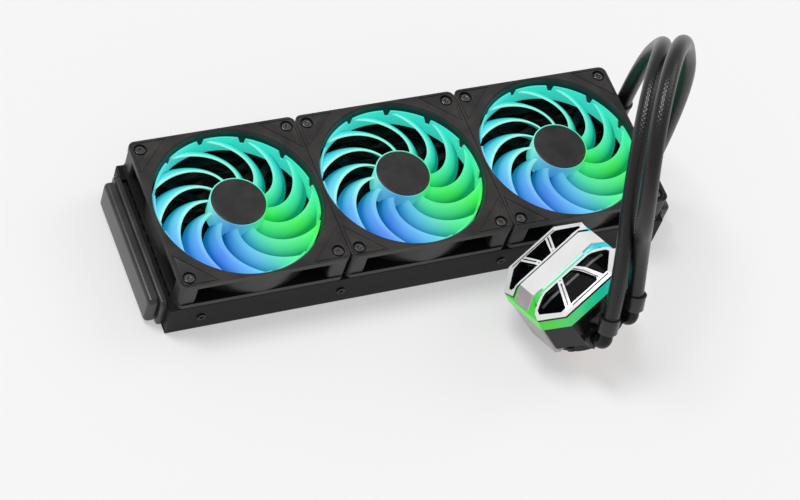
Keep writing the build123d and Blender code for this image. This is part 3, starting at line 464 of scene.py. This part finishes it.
# Each finish, with the function that makes it; a colour given as a word is a setting of the panel
FINISHES = {
    "fan_plastic": partial(grained, colour="black_plastic", roughness=0.38, grain=0.25, drift=0.4,
                           sheen_scale=60, specular=0.4),
    "pump_plastic": partial(grained, colour="black_gloss", roughness=0.18, grain=0.05, specular=0.2),
    "black_metal": partial(grained, colour="black_metal", roughness=0.42, grain=0.15, grain_scale=2500,
                           specular=0.14),
    "tank_metal": partial(grained, colour=(0.036, 0.036, 0.036), roughness=0.3, grain=0.1, grain_scale=2500),
    # Dark core finish, used also as painted shade on the fans' struts
    "core_metal": partial(grained, colour=(0.006, 0.006, 0.006), roughness=0.5, grain=0.1, specular=0.2),
    "hub_face": partial(grained, colour=(0.020, 0.021, 0.020), roughness=0.45, grain=0.5, grain_scale=1100,
                        drift=0.35, sheen_scale=90, specular=0.35),
    "dark_screw": partial(brushed, colour=(0.05, 0.05, 0.052), roughness=0.28),
    "bright_screw": partial(brushed, colour=(0.15, 0.145, 0.145), roughness=0.2),
    "steel": partial(brushed, colour=(0.62, 0.62, 0.64), roughness=0.25),
    "ferrite": partial(grained, colour=(0.03, 0.03, 0.03), roughness=0.6),
    "bronze": partial(brushed, colour=(0.62, 0.42, 0.2), roughness=0.35),
    "winding": partial(brushed, colour=(0.72, 0.36, 0.18), roughness=0.35, stretch=(1, 1, 30), scale=900),
    "board": partial(grained, colour=(0.01, 0.12, 0.05), roughness=0.4, grain=0.2),
    "bright_trim": partial(grained, colour="bright_trim", roughness=0.16, drift=0.03, grain=0.03, coat=0.4),
    # Painted shade for the frames' upright sides, the lines on their bars and the plate's rear edge
    "trim_side": partial(grained, colour=(0.02, 0.02, 0.021), roughness=0.2, grain=0.03, specular=0.3),
    "plate": partial(grained, colour="bright_trim", roughness=0.22, drift=0.03, grain=0.03, coat=0.3),
    "smoked": partial(grained, colour=(0.002, 0.002, 0.0025), roughness=0.1, grain=0.0, specular=0.01),
    "inner_rail": partial(grained, colour=(0.055, 0.055, 0.06), roughness=0.3, grain=0.05, specular=0.2),
    "copper": partial(brushed, colour=(0.8, 0.4, 0.25), roughness=0.2),
    "rubber": partial(grained, colour=(0.015, 0.015, 0.015), roughness=0.7),
    "inner_plastic": partial(grained, colour=(0.55, 0.55, 0.52), roughness=0.45),
    "ferrule": partial(grained, colour=(0.018, 0.017, 0.017), roughness=0.24, grain=0.1),
    "sleeve": braided,
    "lit_cap": lit_cap,
    "end_grey": end_grey,
    "mint_edge": mint_edge,
    **{f"lit_blades_{side}": partial(lit_blades, side=side) for side in SIDES},
}
MADE = {}


def finish(name):
    """Material of the object's finishes by name, made once."""
    if name not in MADE:
        MADE[name] = FINISHES[name](name)
    return MADE[name]


def dress(node_name, finish_name):
    """Give a frame node its material."""
    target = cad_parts[node_name]
    target.data.materials.clear()
    target.data.materials.append(finish(finish_name))


# Meshes

# Rounding of the small edges
TRIM_ROUND = 0.3 * MM
PANE_ROUND = 0.2 * MM
PLATE_ROUND = 0.4 * MM
FITTING_ROUND = 0.25 * MM
RAIL_SCREW_ROUND = 0.2 * MM
FAN_SCREW_ROUND = 0.8 * MM
BLADE_ROUND = 0.3 * MM
RING_ROUND = 0.25 * MM


def place_piece(name, bm, finish_name, body, nodes=(), sharp=35.0):
    """Turn a bmesh into a piece that stands for frame nodes and rides on a body, if one is given."""
    mesh = bpy.data.meshes.new(name)
    bm.to_mesh(mesh)
    bm.free()
    mesh.shade_smooth()
    mesh.set_sharp_from_angle(angle=math.radians(sharp))
    mesh.materials.append(finish(finish_name))
    piece = bpy.data.objects.new(name, mesh)
    bpy.context.scene.collection.objects.link(piece)
    if body:
        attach(piece, body)
    if nodes:
        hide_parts(*nodes)
    return piece


def merged_copy(node_name):
    """A frame node's shape with its triangles joined into whole faces."""
    bm = bmesh.new()
    bm.from_mesh(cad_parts[node_name].data)
    bmesh.ops.remove_doubles(bm, verts=bm.verts, dist=0.002 * MM)
    bmesh.ops.dissolve_limit(bm, angle_limit=math.radians(1.0), verts=bm.verts, edges=bm.edges)
    return bm


def round_edges(piece, width, segments=2, angle=32.0):
    """Round the sharp edges of a piece."""
    bevel = piece.modifiers.new("rounding", "BEVEL")
    bevel.width = width
    bevel.segments = segments
    bevel.limit_method = "ANGLE"
    bevel.angle_limit = math.radians(angle)
    bevel.harden_normals = True
    bevel.use_clamp_overlap = True


def rounded_node(node_name, finish_name, body, width, segments=2):
    """A frame node's shape with rounded edges, in its place."""
    look = f"{node_name}_look"
    piece = place_piece(look, merged_copy(node_name), finish_name, body, (node_name,))
    round_edges(piece, width, segments)
    return piece


def turned(profile, top, steps):
    """A closed shape turned about the Z axis from (radius, height above top) points in millimetres."""
    bm = bmesh.new()
    verts = [bm.verts.new((r * MM, 0, (top + z) * MM)) for r, z in profile]
    edges = [bm.edges.new((a, b)) for a, b in zip(verts, verts[1:])]
    if profile[0][0] > 0 and profile[-1][0] > 0:
        edges.append(bm.edges.new((verts[-1], verts[0])))
    bmesh.ops.spin(
        bm, geom=verts + edges, cent=(0, 0, 0), axis=(0, 0, 1),
        angle=2 * math.pi, steps=steps, use_merge=True)
    bmesh.ops.remove_doubles(bm, verts=bm.verts, dist=0.001 * MM)
    bmesh.ops.recalc_face_normals(bm, faces=bm.faces)
    return bm


# Fan rotors

HUB_R = 19.6
DISC_R = 18.8
ROTOR_GAP = 1.6
HUB_STEPS = 96
# Outlines of the hub's cup and its face: radius, and height above the hub's top
CUP_PROFILE = (
    (DISC_R, -0.8), (DISC_R, -0.2), (DISC_R + 0.2, 0.0), (HUB_R - 0.4, 0.0), (HUB_R, -0.4), (HUB_R, -17.4),
    (HUB_R - 0.3, -17.6), (18.0, -17.6), (18.0, -2.4), (15.0, -2.4), (15.0, -0.8),
)
FACE_PROFILE = (
    (0, 0.2), (9.0, 0.18), (17.2, 0.1), (18.3, -0.05), (18.75, -0.4), (18.75, -0.75), (0, -0.75),
)
# The cup's rim above this height gets the painted highlight
RIM_BOTTOM = -0.6
RIM_HIGHLIGHT = 0.6
RING_R = 56.5
RING_WALL = 1.3
RING_DROP = 5.0
RING_HEIGHT = 14.0
NOTCH_ANGLE = 57.6
NOTCH_DEPTH = 5.4
NOTCH_BOTTOM = (0.6, 3.0)
NOTCH_WIDTH = 5.4
# Columns of the ring between one notch and the next
RING_COLUMNS = 9
# Radius, lead of the leading edge in degrees, chord, leading and trailing edge below the fan's face
BLADE_STATIONS = (
    (18.9, 3.5, 8.4, 5.2, 18.4),
    (31.02, 14.5, 12.2, 6.0, 18.8),
    (43.92, 34.5, 18.0, 6.8, 18.6),
    (58.0, 61.5, 26.5, 8.2, 18.0),
)
BLADE_CAMBER = 0.09
# A blade starts this far past its first station, inside the hub's wall
BLADE_START = 0.4
BLADE_COLUMNS = 26
BLADE_ROWS = 14
# Share of the chord past which a blade is in full painted shade, the width of its painted highlight along
# the leading edge and how steeply that fades
PAINTED_SHADE_END = 1 / 1.4
HIGHLIGHT_EDGE = 3.6
HIGHLIGHT_FADE = 1.6
ROTOR_PHASES = {"left": 8.0, "middle": 20.0, "right": 13.2}


def along_blade(radius, column):
    """Value of a blade column at a radius, on the curve through its stations."""
    total = 0.0
    for i, row in enumerate(BLADE_STATIONS):
        weight = 1.0
        for j, other in enumerate(BLADE_STATIONS):
            if i != j:
                weight *= (radius - other[0]) / (row[0] - other[0])
        total += weight * row[column]
    return total


def blade_point(radius, share):
    """Point of a blade's middle surface, share 0 at the leading edge and 1 at the trailing one."""
    chord = along_blade(radius, 2)
    rise = along_blade(radius, 4) - along_blade(radius, 3)
    swell = 4 * BLADE_CAMBER * chord * share * (1 - share)
    back = chord * share + swell * rise / math.hypot(chord, rise)
    drop = along_blade(radius, 3) + rise * share - swell * chord / math.hypot(chord, rise)
    angle = math.radians(along_blade(radius, 1)) - back / radius
    return Vector((radius * math.cos(angle), radius * math.sin(angle), -drop)) * MM


def place_rotor_piece(name, bm, side, nodes=()):
    """Turn a mesh about the hub into its phase, move it to its fan and give it the lit finish."""
    turn = Matrix.Rotation(math.radians(ROTOR_PHASES[side]), 4, "Z")
    move = Matrix.Translation(fan_axis(side) + Vector((0, 0, FAN_TOP)))
    bmesh.ops.transform(bm, matrix=move @ turn, verts=bm.verts)
    return place_piece(name, bm, f"lit_blades_{side}", f"{side}_rotor", nodes, sharp=50)


def spun_round(bm, count):
    """Repeat a mesh about the Z axis."""
    bmesh.ops.spin(
        bm, geom=bm.verts[:] + bm.edges[:] + bm.faces[:], cent=(0, 0, 0), axis=(0, 0, 1),
        angle=2 * math.pi * (count - 1) / count, steps=count - 1, use_duplicate=True)


def build_blades(side):
    """Swept, twisted blades with a painted highlight on their leading edges and painted shade towards their
    trailing edges.
    """
    sizes = bpy.context.scene.cooler_sizes
    root = BLADE_STATIONS[0][0] + BLADE_START
    bm = bmesh.new()
    bmesh.ops.create_grid(bm, x_segments=BLADE_COLUMNS, y_segments=BLADE_ROWS, size=0.5)
    highlight_layer = bm.verts.layers.float.new("paleness")
    depth = bm.verts.layers.float.new("depth")
    for vert in bm.verts:
        reach, share = vert.co.x + 0.5, vert.co.y + 0.5
        # Painted shade, growing towards the trailing edge
        vert[depth] = min(1.0, share / PAINTED_SHADE_END) ** 2
        radius = root + (RING_R - RING_WALL / 2 - root) * reach
        # Painted highlight along the leading edge
        edge_share = share * along_blade(radius, 2) / HIGHLIGHT_EDGE
        vert[highlight_layer] = min(1.0, max(0.0, HIGHLIGHT_FADE * (1 - edge_share)))
        vert.co = blade_point(radius, share)
    bmesh.ops.recalc_face_normals(bm, faces=bm.faces)
    bmesh.ops.solidify(bm, geom=bm.faces[:], thickness=sizes.blade_thickness)
    spun_round(bm, sizes.blade_count)
    blades = place_rotor_piece(f"fan_{side}_blades", bm, side, (f"fan_{side}_rotor",))
    round_edges(blades, BLADE_ROUND, angle=60)


def build_ring(side):
    """Ring that joins the blades, notched before each tip."""
    sizes = bpy.context.scene.cooler_sizes
    sector = 2 * math.pi / sizes.blade_count
    notch = [x / RING_R for x in (0.0, *NOTCH_BOTTOM, NOTCH_WIDTH)]
    plain = sector - notch[-1]
    columns = notch + [notch[-1] + plain * (i + 1) / RING_COLUMNS for i in range(RING_COLUMNS)]
    bm = bmesh.new()
    bmesh.ops.create_grid(bm, x_segments=len(columns) - 1, y_segments=2, size=0.5)
    highlight_layer = bm.verts.layers.float.new("paleness")
    for vert in bm.verts:
        column = round((vert.co.x + 0.5) * (len(columns) - 1))
        height = vert.co.y + 0.5
        top = RING_DROP + (NOTCH_DEPTH if column in (1, 2) else 0.0)
        angle = math.radians(NOTCH_ANGLE) + columns[column]
        drop = RING_DROP + RING_HEIGHT + (top - RING_DROP - RING_HEIGHT) * height
        vert[highlight_layer] = 0.0
        vert.co = Vector((RING_R * math.cos(angle), RING_R * math.sin(angle), -drop)) * MM
    spun_round(bm, sizes.blade_count)
    bmesh.ops.remove_doubles(bm, verts=bm.verts, dist=0.01 * MM)
    bmesh.ops.recalc_face_normals(bm, faces=bm.faces)
    bmesh.ops.solidify(bm, geom=bm.faces[:], thickness=RING_WALL * MM)
    ring = place_rotor_piece(f"fan_{side}_ring", bm, side)
    round_edges(ring, RING_ROUND, angle=40)


def build_hub(side):
    """Hub cup with a painted highlight on its thin edge and a black face."""
    cup = turned(CUP_PROFILE, -ROTOR_GAP, HUB_STEPS)
    highlight_layer = cup.verts.layers.float.new("paleness")
    for vert in cup.verts:
        vert[highlight_layer] = RIM_HIGHLIGHT if vert.co.z > (RIM_BOTTOM - ROTOR_GAP) * MM else 0.0
    place_rotor_piece(f"fan_{side}_hub_ring", cup, side)
    face = turned(FACE_PROFILE, -ROTOR_GAP, HUB_STEPS)
    bmesh.ops.translate(face, vec=fan_axis(side) + Vector((0, 0, FAN_TOP)), verts=face.verts)
    place_piece(
        f"fan_{side}_hub_face", face, "hub_face", f"{side}_rotor", (f"fan_{side}_hub_disc",))


class COOLER_OT_rotors(Operator):
    """Build the three lit rotors"""
    bl_idname = "cooler.rotors"
    bl_label = "Fan rotors"

    def execute(self, context):
        for side in SIDES:
            build_blades(side)
            build_ring(side)
            build_hub(side)
            for part, look in (("magnet", "ferrite"), ("shaft", "steel")):
                dress(f"fan_{side}_{part}", look)
        return {"FINISHED"}


# Reach of the painted shade on the struts under a rotor, from the fan's axis and above its underside
STRUT_R = 57 * MM
STRUT_TOP = 9 * MM


def paint_strut_shade(shell, side):
    """Paint shade on the struts and motor cup of a fan frame, which lie in the rotor's shadow, with the dark
    finish of the core.
    """
    shell.data.materials.append(finish("core_metal"))
    axis = fan_axis(side)
    for face in shell.data.polygons:
        off = face.center - axis
        if off.xy.length < STRUT_R and off.z < FAN_BOTTOM + STRUT_TOP:
            face.material_index = 1


class COOLER_OT_fan_frames(Operator):
    """Build the three fan frames with their screws and motors"""
    bl_idname = "cooler.fan_frames"
    bl_label = "Fan frames"

    def execute(self, context):
        sizes = context.scene.cooler_sizes
        for side in SIDES:
            name = f"fan_{side}_frame"
            shell = rounded_node(name, "fan_plastic", COOLER, sizes.edge_round)
            # Painted shade on the struts under the rotor
            paint_strut_shade(shell, side)
            rounded_node(
                f"fan_{side}_screws", "bright_screw", COOLER, FAN_SCREW_ROUND, segments=3)
            for part, look in (("bearing", "bronze"), ("stator", "winding"), ("board", "board")):
                dress(f"fan_{side}_{part}", look)
        return {"FINISHED"}


class COOLER_OT_radiator(Operator):
    """Build the radiator's rails, core and tanks"""
    bl_idname = "cooler.radiator"
    bl_label = "Radiator"

    def execute(self, context):
        sizes = context.scene.cooler_sizes
        for name in ("front_rail", "rear_rail"):
            rounded_node(name, "black_metal", COOLER, sizes.metal_round)
        for name in ("left_tank", "right_tank"):
            rounded_node(name, "tank_metal", COOLER, sizes.metal_round)
        rounded_node("rail_screws", "dark_screw", COOLER, RAIL_SCREW_ROUND)
        for name in ("coolant_tubes", "cooling_fins", "header_plates"):
            dress(name, "core_metal")
        return {"FINISHED"}


# Dark lines of painted shade in the middle of the frames' bars, standing for the shade in grooves, in the
# pump head's own plane
BAR_SHADE_LINES = (
    ((-6.1, -11.6), (-14.4, -28.0)),
    ((5.4, -11.6), (9.3, -17.2), (13.6, -27.2)),
    ((-12.0, -29.9), (20.0, -29.9)),
    ((-6.2, 11.6), (-10.2, 27.8)),
    ((6.2, 11.6), (12.2, 27.8)),
    ((-19.0, 29.5), (19.0, 29.5)),
)
BAR_SHADE_WIDTH = 1.0
BAR_SHADE_HEIGHT = 0.06
# Stretches of the rail that shows behind the front windows
RAIL_SPANS = ((-27.0, -11.0), (-5.2, 6.2), (11.7, 27.0))
RAIL_Y = -15.2
RAIL_WIDTH = 1.6
RAIL_HEIGHT = 0.5
# Roof of the cap and the wells that its windows lie in
ROOF_CREST = 58.2
ROOF_FLAT = 7.5
ROOF_SLOPE = 0.34
WELL_START = 9.3
WELL_END = 31.0
WELL_EDGE = 1.35
WELL_FLOOR = 46.5
# Strips along the centre plate: their place, their length to both sides, their height and each one's width
PLATE_EDGE = 8.15
PLATE_EDGE_X = 18.0
PLATE_EDGE_HEIGHT = 1.4
FRONT_EDGE_WIDTH = 1.7
REAR_EDGE_WIDTH = 1.0
# A strip is dropped on its node from here in steps along its line, and sinks into it a little
ABOVE_CAP = 80.0
STRIP_STEPS = 6
STRIP_SINK = 0.3
# Lean along the pump head's axes below which a face belongs to the plate's end, or to the frames' sides;
# both get painted shade
END_LEAN = -0.3
SIDE_LEAN = 0.5


def pump_point(x, y, z):
    """A place given in the pump head's own axes, in millimetres."""
    return PUMP_ORIGIN + (PUMP_RIDGE * x + PUMP_SIDE * y + PUMP_UP * z) * MM


def laid_strip(name, points, width, height, node_name, finish_name):
    """A thin strip that lies on a node of the pump head along a line of its plane."""
    ground = bmesh.new()
    ground.from_mesh(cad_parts[node_name].data)
    tree = BVHTree.FromBMesh(ground)
    ground.free()
    line = [Vector(p) for p in points]
    spine = [a.lerp(b, i / STRIP_STEPS) for a, b in zip(line, line[1:]) for i in range(STRIP_STEPS)]
    spine.append(line[-1])
    bm = bmesh.new()
    bmesh.ops.create_grid(bm, x_segments=len(spine) - 1, y_segments=1, size=0.5)
    for vert in bm.verts:
        at = round((vert.co.x + 0.5) * (len(spine) - 1))
        along = (spine[min(at + 1, len(spine) - 1)] - spine[max(at - 1, 0)]).normalized()
        place = spine[at] + Vector((-along.y, along.x)) * vert.co.y * width
        hit = tree.ray_cast(pump_point(place.x, place.y, ABOVE_CAP), -PUMP_UP)[0]
        if hit is None:
            raise RuntimeError(f"{name} runs off {node_name}")
        vert.co = hit + PUMP_UP * height * MM
    bmesh.ops.solidify(bm, geom=bm.faces[:], thickness=(height + STRIP_SINK) * MM)
    bmesh.ops.recalc_face_normals(bm, faces=bm.faces)
    return place_piece(name, bm, finish_name, COOLER)


def build_light_guide():
    """The lit body of the cap, dark inside the wells of its windows."""
    piece = rounded_node("light_guide", "lit_cap", COOLER, TRIM_ROUND)
    piece.data.materials.append(finish("smoked"))
    for face in piece.data.polygons:
        off = (face.center - PUMP_ORIGIN) / MM
        across = abs(off.dot(PUMP_SIDE))
        roof = ROOF_CREST - ROOF_SLOPE * max(0.0, across - ROOF_FLAT)
        if WELL_START < across < WELL_END and WELL_FLOOR < off.dot(PUMP_UP) < roof - WELL_EDGE:
            face.material_index = 1


def build_plate():
    """The white centre plate, its end facet painted grey as shade."""
    piece = rounded_node("centre_plate", "plate", COOLER, PLATE_ROUND)
    piece.data.materials.append(finish("end_grey"))
    for face in piece.data.polygons:
        # Painted shade: the end facet takes the grey finish
        if face.normal.dot(PUMP_RIDGE) < END_LEAN:
            face.material_index = 1


def build_window_frames():
    """The white frames, whose upright sides and bar lines are dark with painted shade."""
    piece = rounded_node("window_frames", "bright_trim", COOLER, TRIM_ROUND)
    piece.data.materials.append(finish("trim_side"))
    for face in piece.data.polygons:
        # Painted shade on the upright sides
        if face.normal.dot(PUMP_UP) < SIDE_LEAN:
            face.material_index = 1
    for i, line in enumerate(BAR_SHADE_LINES):
        laid_strip(f"bar_line_{i + 1}", line, BAR_SHADE_WIDTH, BAR_SHADE_HEIGHT,
                   "window_frames", "trim_side")


def build_cap_trim():
    """What shows behind the windows and along the centre plate, whose rear edge is a strip of painted shade.
    """
    for i, (start, end) in enumerate(RAIL_SPANS):
        laid_strip(f"window_rail_{i + 1}", ((start, RAIL_Y), (end, RAIL_Y)), RAIL_WIDTH, RAIL_HEIGHT,
                   "window_panes", "inner_rail")
    # The rear edge takes the dark finish as painted shade
    edges = (("front", -PLATE_EDGE, FRONT_EDGE_WIDTH, "mint_edge"),
             ("rear", PLATE_EDGE, REAR_EDGE_WIDTH, "trim_side"))
    for name, y, width, look in edges:
        laid_strip(f"plate_edge_{name}", ((-PLATE_EDGE_X, y), (PLATE_EDGE_X, y)), width, PLATE_EDGE_HEIGHT,
                   "light_guide", look)


class COOLER_OT_pump(Operator):
    """Build the pump head with its lit cap"""
    bl_idname = "cooler.pump"
    bl_label = "Pump head"

    def execute(self, context):
        sizes = context.scene.cooler_sizes
        rounded_node("pump_body", "pump_plastic", COOLER, sizes.edge_round)
        build_light_guide()
        build_window_frames()
        rounded_node("window_panes", "smoked", COOLER, PANE_ROUND)
        build_plate()
        # The end panels' far end is darkened by painted shade
        rounded_node("end_panels", "end_grey", COOLER, TRIM_ROUND)
        build_cap_trim()
        looks = {
            "cold_plate": "copper", "base_gasket": "rubber", "base_screws": "bright_screw",
            "jet_plate": "inner_plastic", "impeller": "inner_plastic", "impeller_magnet": "ferrite",
            "impeller_shaft": "steel", "motor_can": "steel", "pump_stator": "winding",
            "pump_board": "board", "port_clips": "dark_screw", "elbow_seals": "rubber",
        }
        for name, look in looks.items():
            dress(name, look)
        return {"FINISHED"}


class COOLER_OT_fittings(Operator):
    """Build the elbows and the crimped ferrules"""
    bl_idname = "cooler.fittings"
    bl_label = "Elbows and ferrules"

    def execute(self, context):
        for way in ("front", "rear"):
            body = f"{way}_elbow"
            rounded_node(f"elbow_{way}", "pump_plastic", body, FITTING_ROUND)
            rounded_node(f"pump_ferrule_{way}", "ferrule", body, FITTING_ROUND)
        rounded_node("radiator_ferrules", "ferrule", COOLER, FITTING_ROUND)
        return {"FINISHED"}


def route_path(points):
    """Points along the smooth spline on a hose's control points."""
    curve = bpy.data.curves.new("route", "CURVE")
    curve.dimensions = "3D"
    curve.resolution_u = ROUTE_STEPS
    spline = curve.splines.new("NURBS")
    spline.points.add(len(points) - 1)
    for point, place in zip(spline.points, points):
        point.co = (*place, 1.0)
    spline.order_u = 3
    spline.use_endpoint_u = True
    holder = bpy.data.objects.new("route", curve)
    line = bpy.data.meshes.new_from_object(holder)
    path = [v.co.copy() for v in line.vertices]
    bpy.data.objects.remove(holder)
    bpy.data.meshes.remove(line)
    bpy.data.curves.remove(curve)
    return path


def tube_on_path(path, radius):
    """A closed tube along a path, with a UV map whose unit is the way once round the tube."""
    bm = bmesh.new()
    tangents = [(b - a).normalized() for a, b in zip(path, path[1:])]
    tangents.append(tangents[-1])
    turn = tangents[0].to_track_quat("Z", "Y")
    rings, ways, way = [], [], 0.0
    for i, (place, tangent) in enumerate(zip(path, tangents)):
        if i:
            turn = tangents[i - 1].rotation_difference(tangent) @ turn
            way += (place - path[i - 1]).length
        made = bmesh.ops.create_circle(
            bm, cap_ends=False, radius=radius, segments=HOSE_AROUND,
            matrix=Matrix.Translation(place) @ turn.to_matrix().to_4x4())
        rings.append(made["verts"])
        ways.append(way / (2 * math.pi * radius))
    uv = bm.loops.layers.uv.new("UVMap")
    for i, (low, high) in enumerate(zip(rings, rings[1:])):
        for k in range(HOSE_AROUND):
            after = (k + 1) % HOSE_AROUND
            face = bm.faces.new((low[k], low[after], high[after], high[k]))
            corners = ((k, i), (k + 1, i), (k + 1, i + 1), (k, i + 1))
            for loop, (around, along) in zip(face.loops, corners):
                loop[uv].uv = (around / HOSE_AROUND, ways[along])
    for ring in (rings[0], rings[-1]):
        bm.faces.new(ring)
    bmesh.ops.recalc_face_normals(bm, faces=bm.faces)
    return bm


class COOLER_OT_hoses(Operator):
    """Build the two sleeved hoses"""
    bl_idname = "cooler.hoses"
    bl_label = "Hoses"

    def execute(self, context):
        sizes = context.scene.cooler_sizes
        for way, route in HOSE_ROUTES.items():
            path = route_path(route)
            bm = tube_on_path(path, sizes.hose_diameter / 2)
            hose = place_piece(
                f"hose_{way}_look", bm, "sleeve", None, (f"hose_{way}",), sharp=60)
            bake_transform(hose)
        return {"FINISHED"}


# Camera of the photograph: its place and the way it looks, fitted to the fans' edges
CAMERA_PLACE = Vector((-0.716863, -0.932462, 1.494373))
CAMERA_FORWARD = Vector((0.37931, 0.47868, -0.79183))
CAMERA_RIGHT = Vector((0.91010, -0.34735, 0.22598))
CAMERA_LENS = 123.2
SENSOR = 36.0
CAMERA_REACH = 50.0

# Lamps: name, where it shines from, its spread in degrees and its strength
LAMPS = (
    ("key", (-0.3, 0.3, 1.0), 20, 1.5),
    ("side", (0.8, 0.15, 0.75), 30, 0.5),
)
WORLD_LIGHT = 0.45
FLOOR_REACH = 6.0
FLOOR_COLOUR = (0.925, 0.925, 0.925, 1)
# Share of the floor that the camera sees as an even backdrop
BACKDROP_SHARE = 0.45


def place_camera(scene):
    """Camera at the photograph's viewing angle."""
    camera = bpy.data.cameras.new("camera")
    camera.lens = CAMERA_LENS
    camera.sensor_width = SENSOR
    camera.sensor_fit = "HORIZONTAL"
    camera.clip_end = CAMERA_REACH
    holder = bpy.data.objects.new("camera", camera)
    back = -CAMERA_FORWARD.normalized()
    right = (CAMERA_RIGHT - back * CAMERA_RIGHT.dot(back)).normalized()
    up = back.cross(right)
    pose = Matrix((right, up, back)).transposed().to_4x4()
    pose.translation = CAMERA_PLACE
    holder.matrix_world = pose
    scene.collection.objects.link(holder)
    scene.camera = holder


def floor_material():
    """Pale floor that the camera and reflections see partly as an even backdrop, under its shadows."""
    material, tree, shader = start_material("floor")
    shader.inputs["Base Color"].default_value = FLOOR_COLOUR
    shader.inputs["Roughness"].default_value = 0.7
    shader.inputs["Specular IOR Level"].default_value = 0.1
    rays = node(tree, "ShaderNodeLightPath")
    seen = rays.outputs["Is Camera Ray"]
    for kind in ("Is Glossy Ray", "Is Transmission Ray"):
        either = node(tree, "ShaderNodeMath", operation="MAXIMUM")
        tree.links.new(seen, either.inputs[0])
        tree.links.new(rays.outputs[kind], either.inputs[1])
        seen = either.outputs["Value"]
    share = node(tree, "ShaderNodeMath", operation="MULTIPLY")
    tree.links.new(seen, share.inputs[0])
    share.inputs[1].default_value = BACKDROP_SHARE
    even = node(tree, "ShaderNodeEmission", Color=FLOOR_COLOUR, Strength=1.0)
    mix = node(tree, "ShaderNodeMixShader")
    tree.links.new(share.outputs["Value"], mix.inputs[0])
    tree.links.new(shader.outputs["BSDF"], mix.inputs[1])
    tree.links.new(even.outputs["Emission"], mix.inputs[2])
    tree.links.new(mix.outputs["Shader"], tree.nodes["Material Output"].inputs["Surface"])
    return material


def lay_floor(scene):
    """Plain floor that the object stands on."""
    bm = bmesh.new()
    bmesh.ops.create_grid(bm, x_segments=1, y_segments=1, size=FLOOR_REACH)
    mesh = bpy.data.meshes.new("floor")
    bm.to_mesh(mesh)
    bm.free()
    mesh.materials.append(floor_material())
    floor = bpy.data.objects.new("floor", mesh)
    scene.collection.objects.link(floor)


def light_studio(scene):
    """Even white surroundings and wide, soft lamps."""
    world = bpy.data.worlds.new("studio")
    world.use_nodes = True
    background = world.node_tree.nodes["Background"]
    background.inputs["Color"].default_value = (1, 1, 1, 1)
    background.inputs["Strength"].default_value = WORLD_LIGHT
    scene.world = world
    scene.view_settings.view_transform = "Standard"
    for name, place, spread, strength in LAMPS:
        lamp = bpy.data.lights.new(name, "SUN")
        lamp.angle = math.radians(spread)
        lamp.energy = strength
        holder = bpy.data.objects.new(name, lamp)
        holder.location = place
        holder.rotation_euler = (-Vector(place)).to_track_quat("-Z", "Y").to_euler()
        scene.collection.objects.link(holder)


class COOLER_OT_stage(Operator):
    """Set the camera, the lights and the floor"""
    bl_idname = "cooler.stage"
    bl_label = "Stage"

    def execute(self, context):
        place_camera(context.scene)
        lay_floor(context.scene)
        light_studio(context.scene)
        return {"FINISHED"}


class COOLER_PT_panel(Panel):
    """Lists the steps that build the cooler's looks"""
    bl_label = "Cooler"
    bl_idname = "COOLER_PT_panel"
    bl_space_type = "VIEW_3D"
    bl_region_type = "UI"
    bl_category = "Cooler"

    def draw(self, context):
        for step in STEPS:
            self.layout.operator(step.bl_idname)
        for group in (context.scene.cooler_sizes, context.scene.cooler_colours):
            for name in group.__annotations__:
                self.layout.prop(group, name)


STEPS = (
    COOLER_OT_stage,
    COOLER_OT_hoses,
    COOLER_OT_radiator,
    COOLER_OT_fan_frames,
    COOLER_OT_rotors,
    COOLER_OT_pump,
    COOLER_OT_fittings,
)
CLASSES = (CoolerSizes, CoolerColours, *STEPS, COOLER_PT_panel)


def register():
    """Register the classes and hang the settings on the scene."""
    for each in CLASSES:
        bpy.utils.register_class(each)
    bpy.types.Scene.cooler_sizes = PointerProperty(type=CoolerSizes)
    bpy.types.Scene.cooler_colours = PointerProperty(type=CoolerColours)


def unregister():
    """Take the settings and classes away again."""
    del bpy.types.Scene.cooler_colours
    del bpy.types.Scene.cooler_sizes
    for each in reversed(CLASSES):
        bpy.utils.unregister_class(each)


def main():
    """Build every piece in order."""
    register()
    for step in STEPS:
        group, name = step.bl_idname.split(".")
        getattr(getattr(bpy.ops, group), name)()


if __name__ == "__main__":
    main()
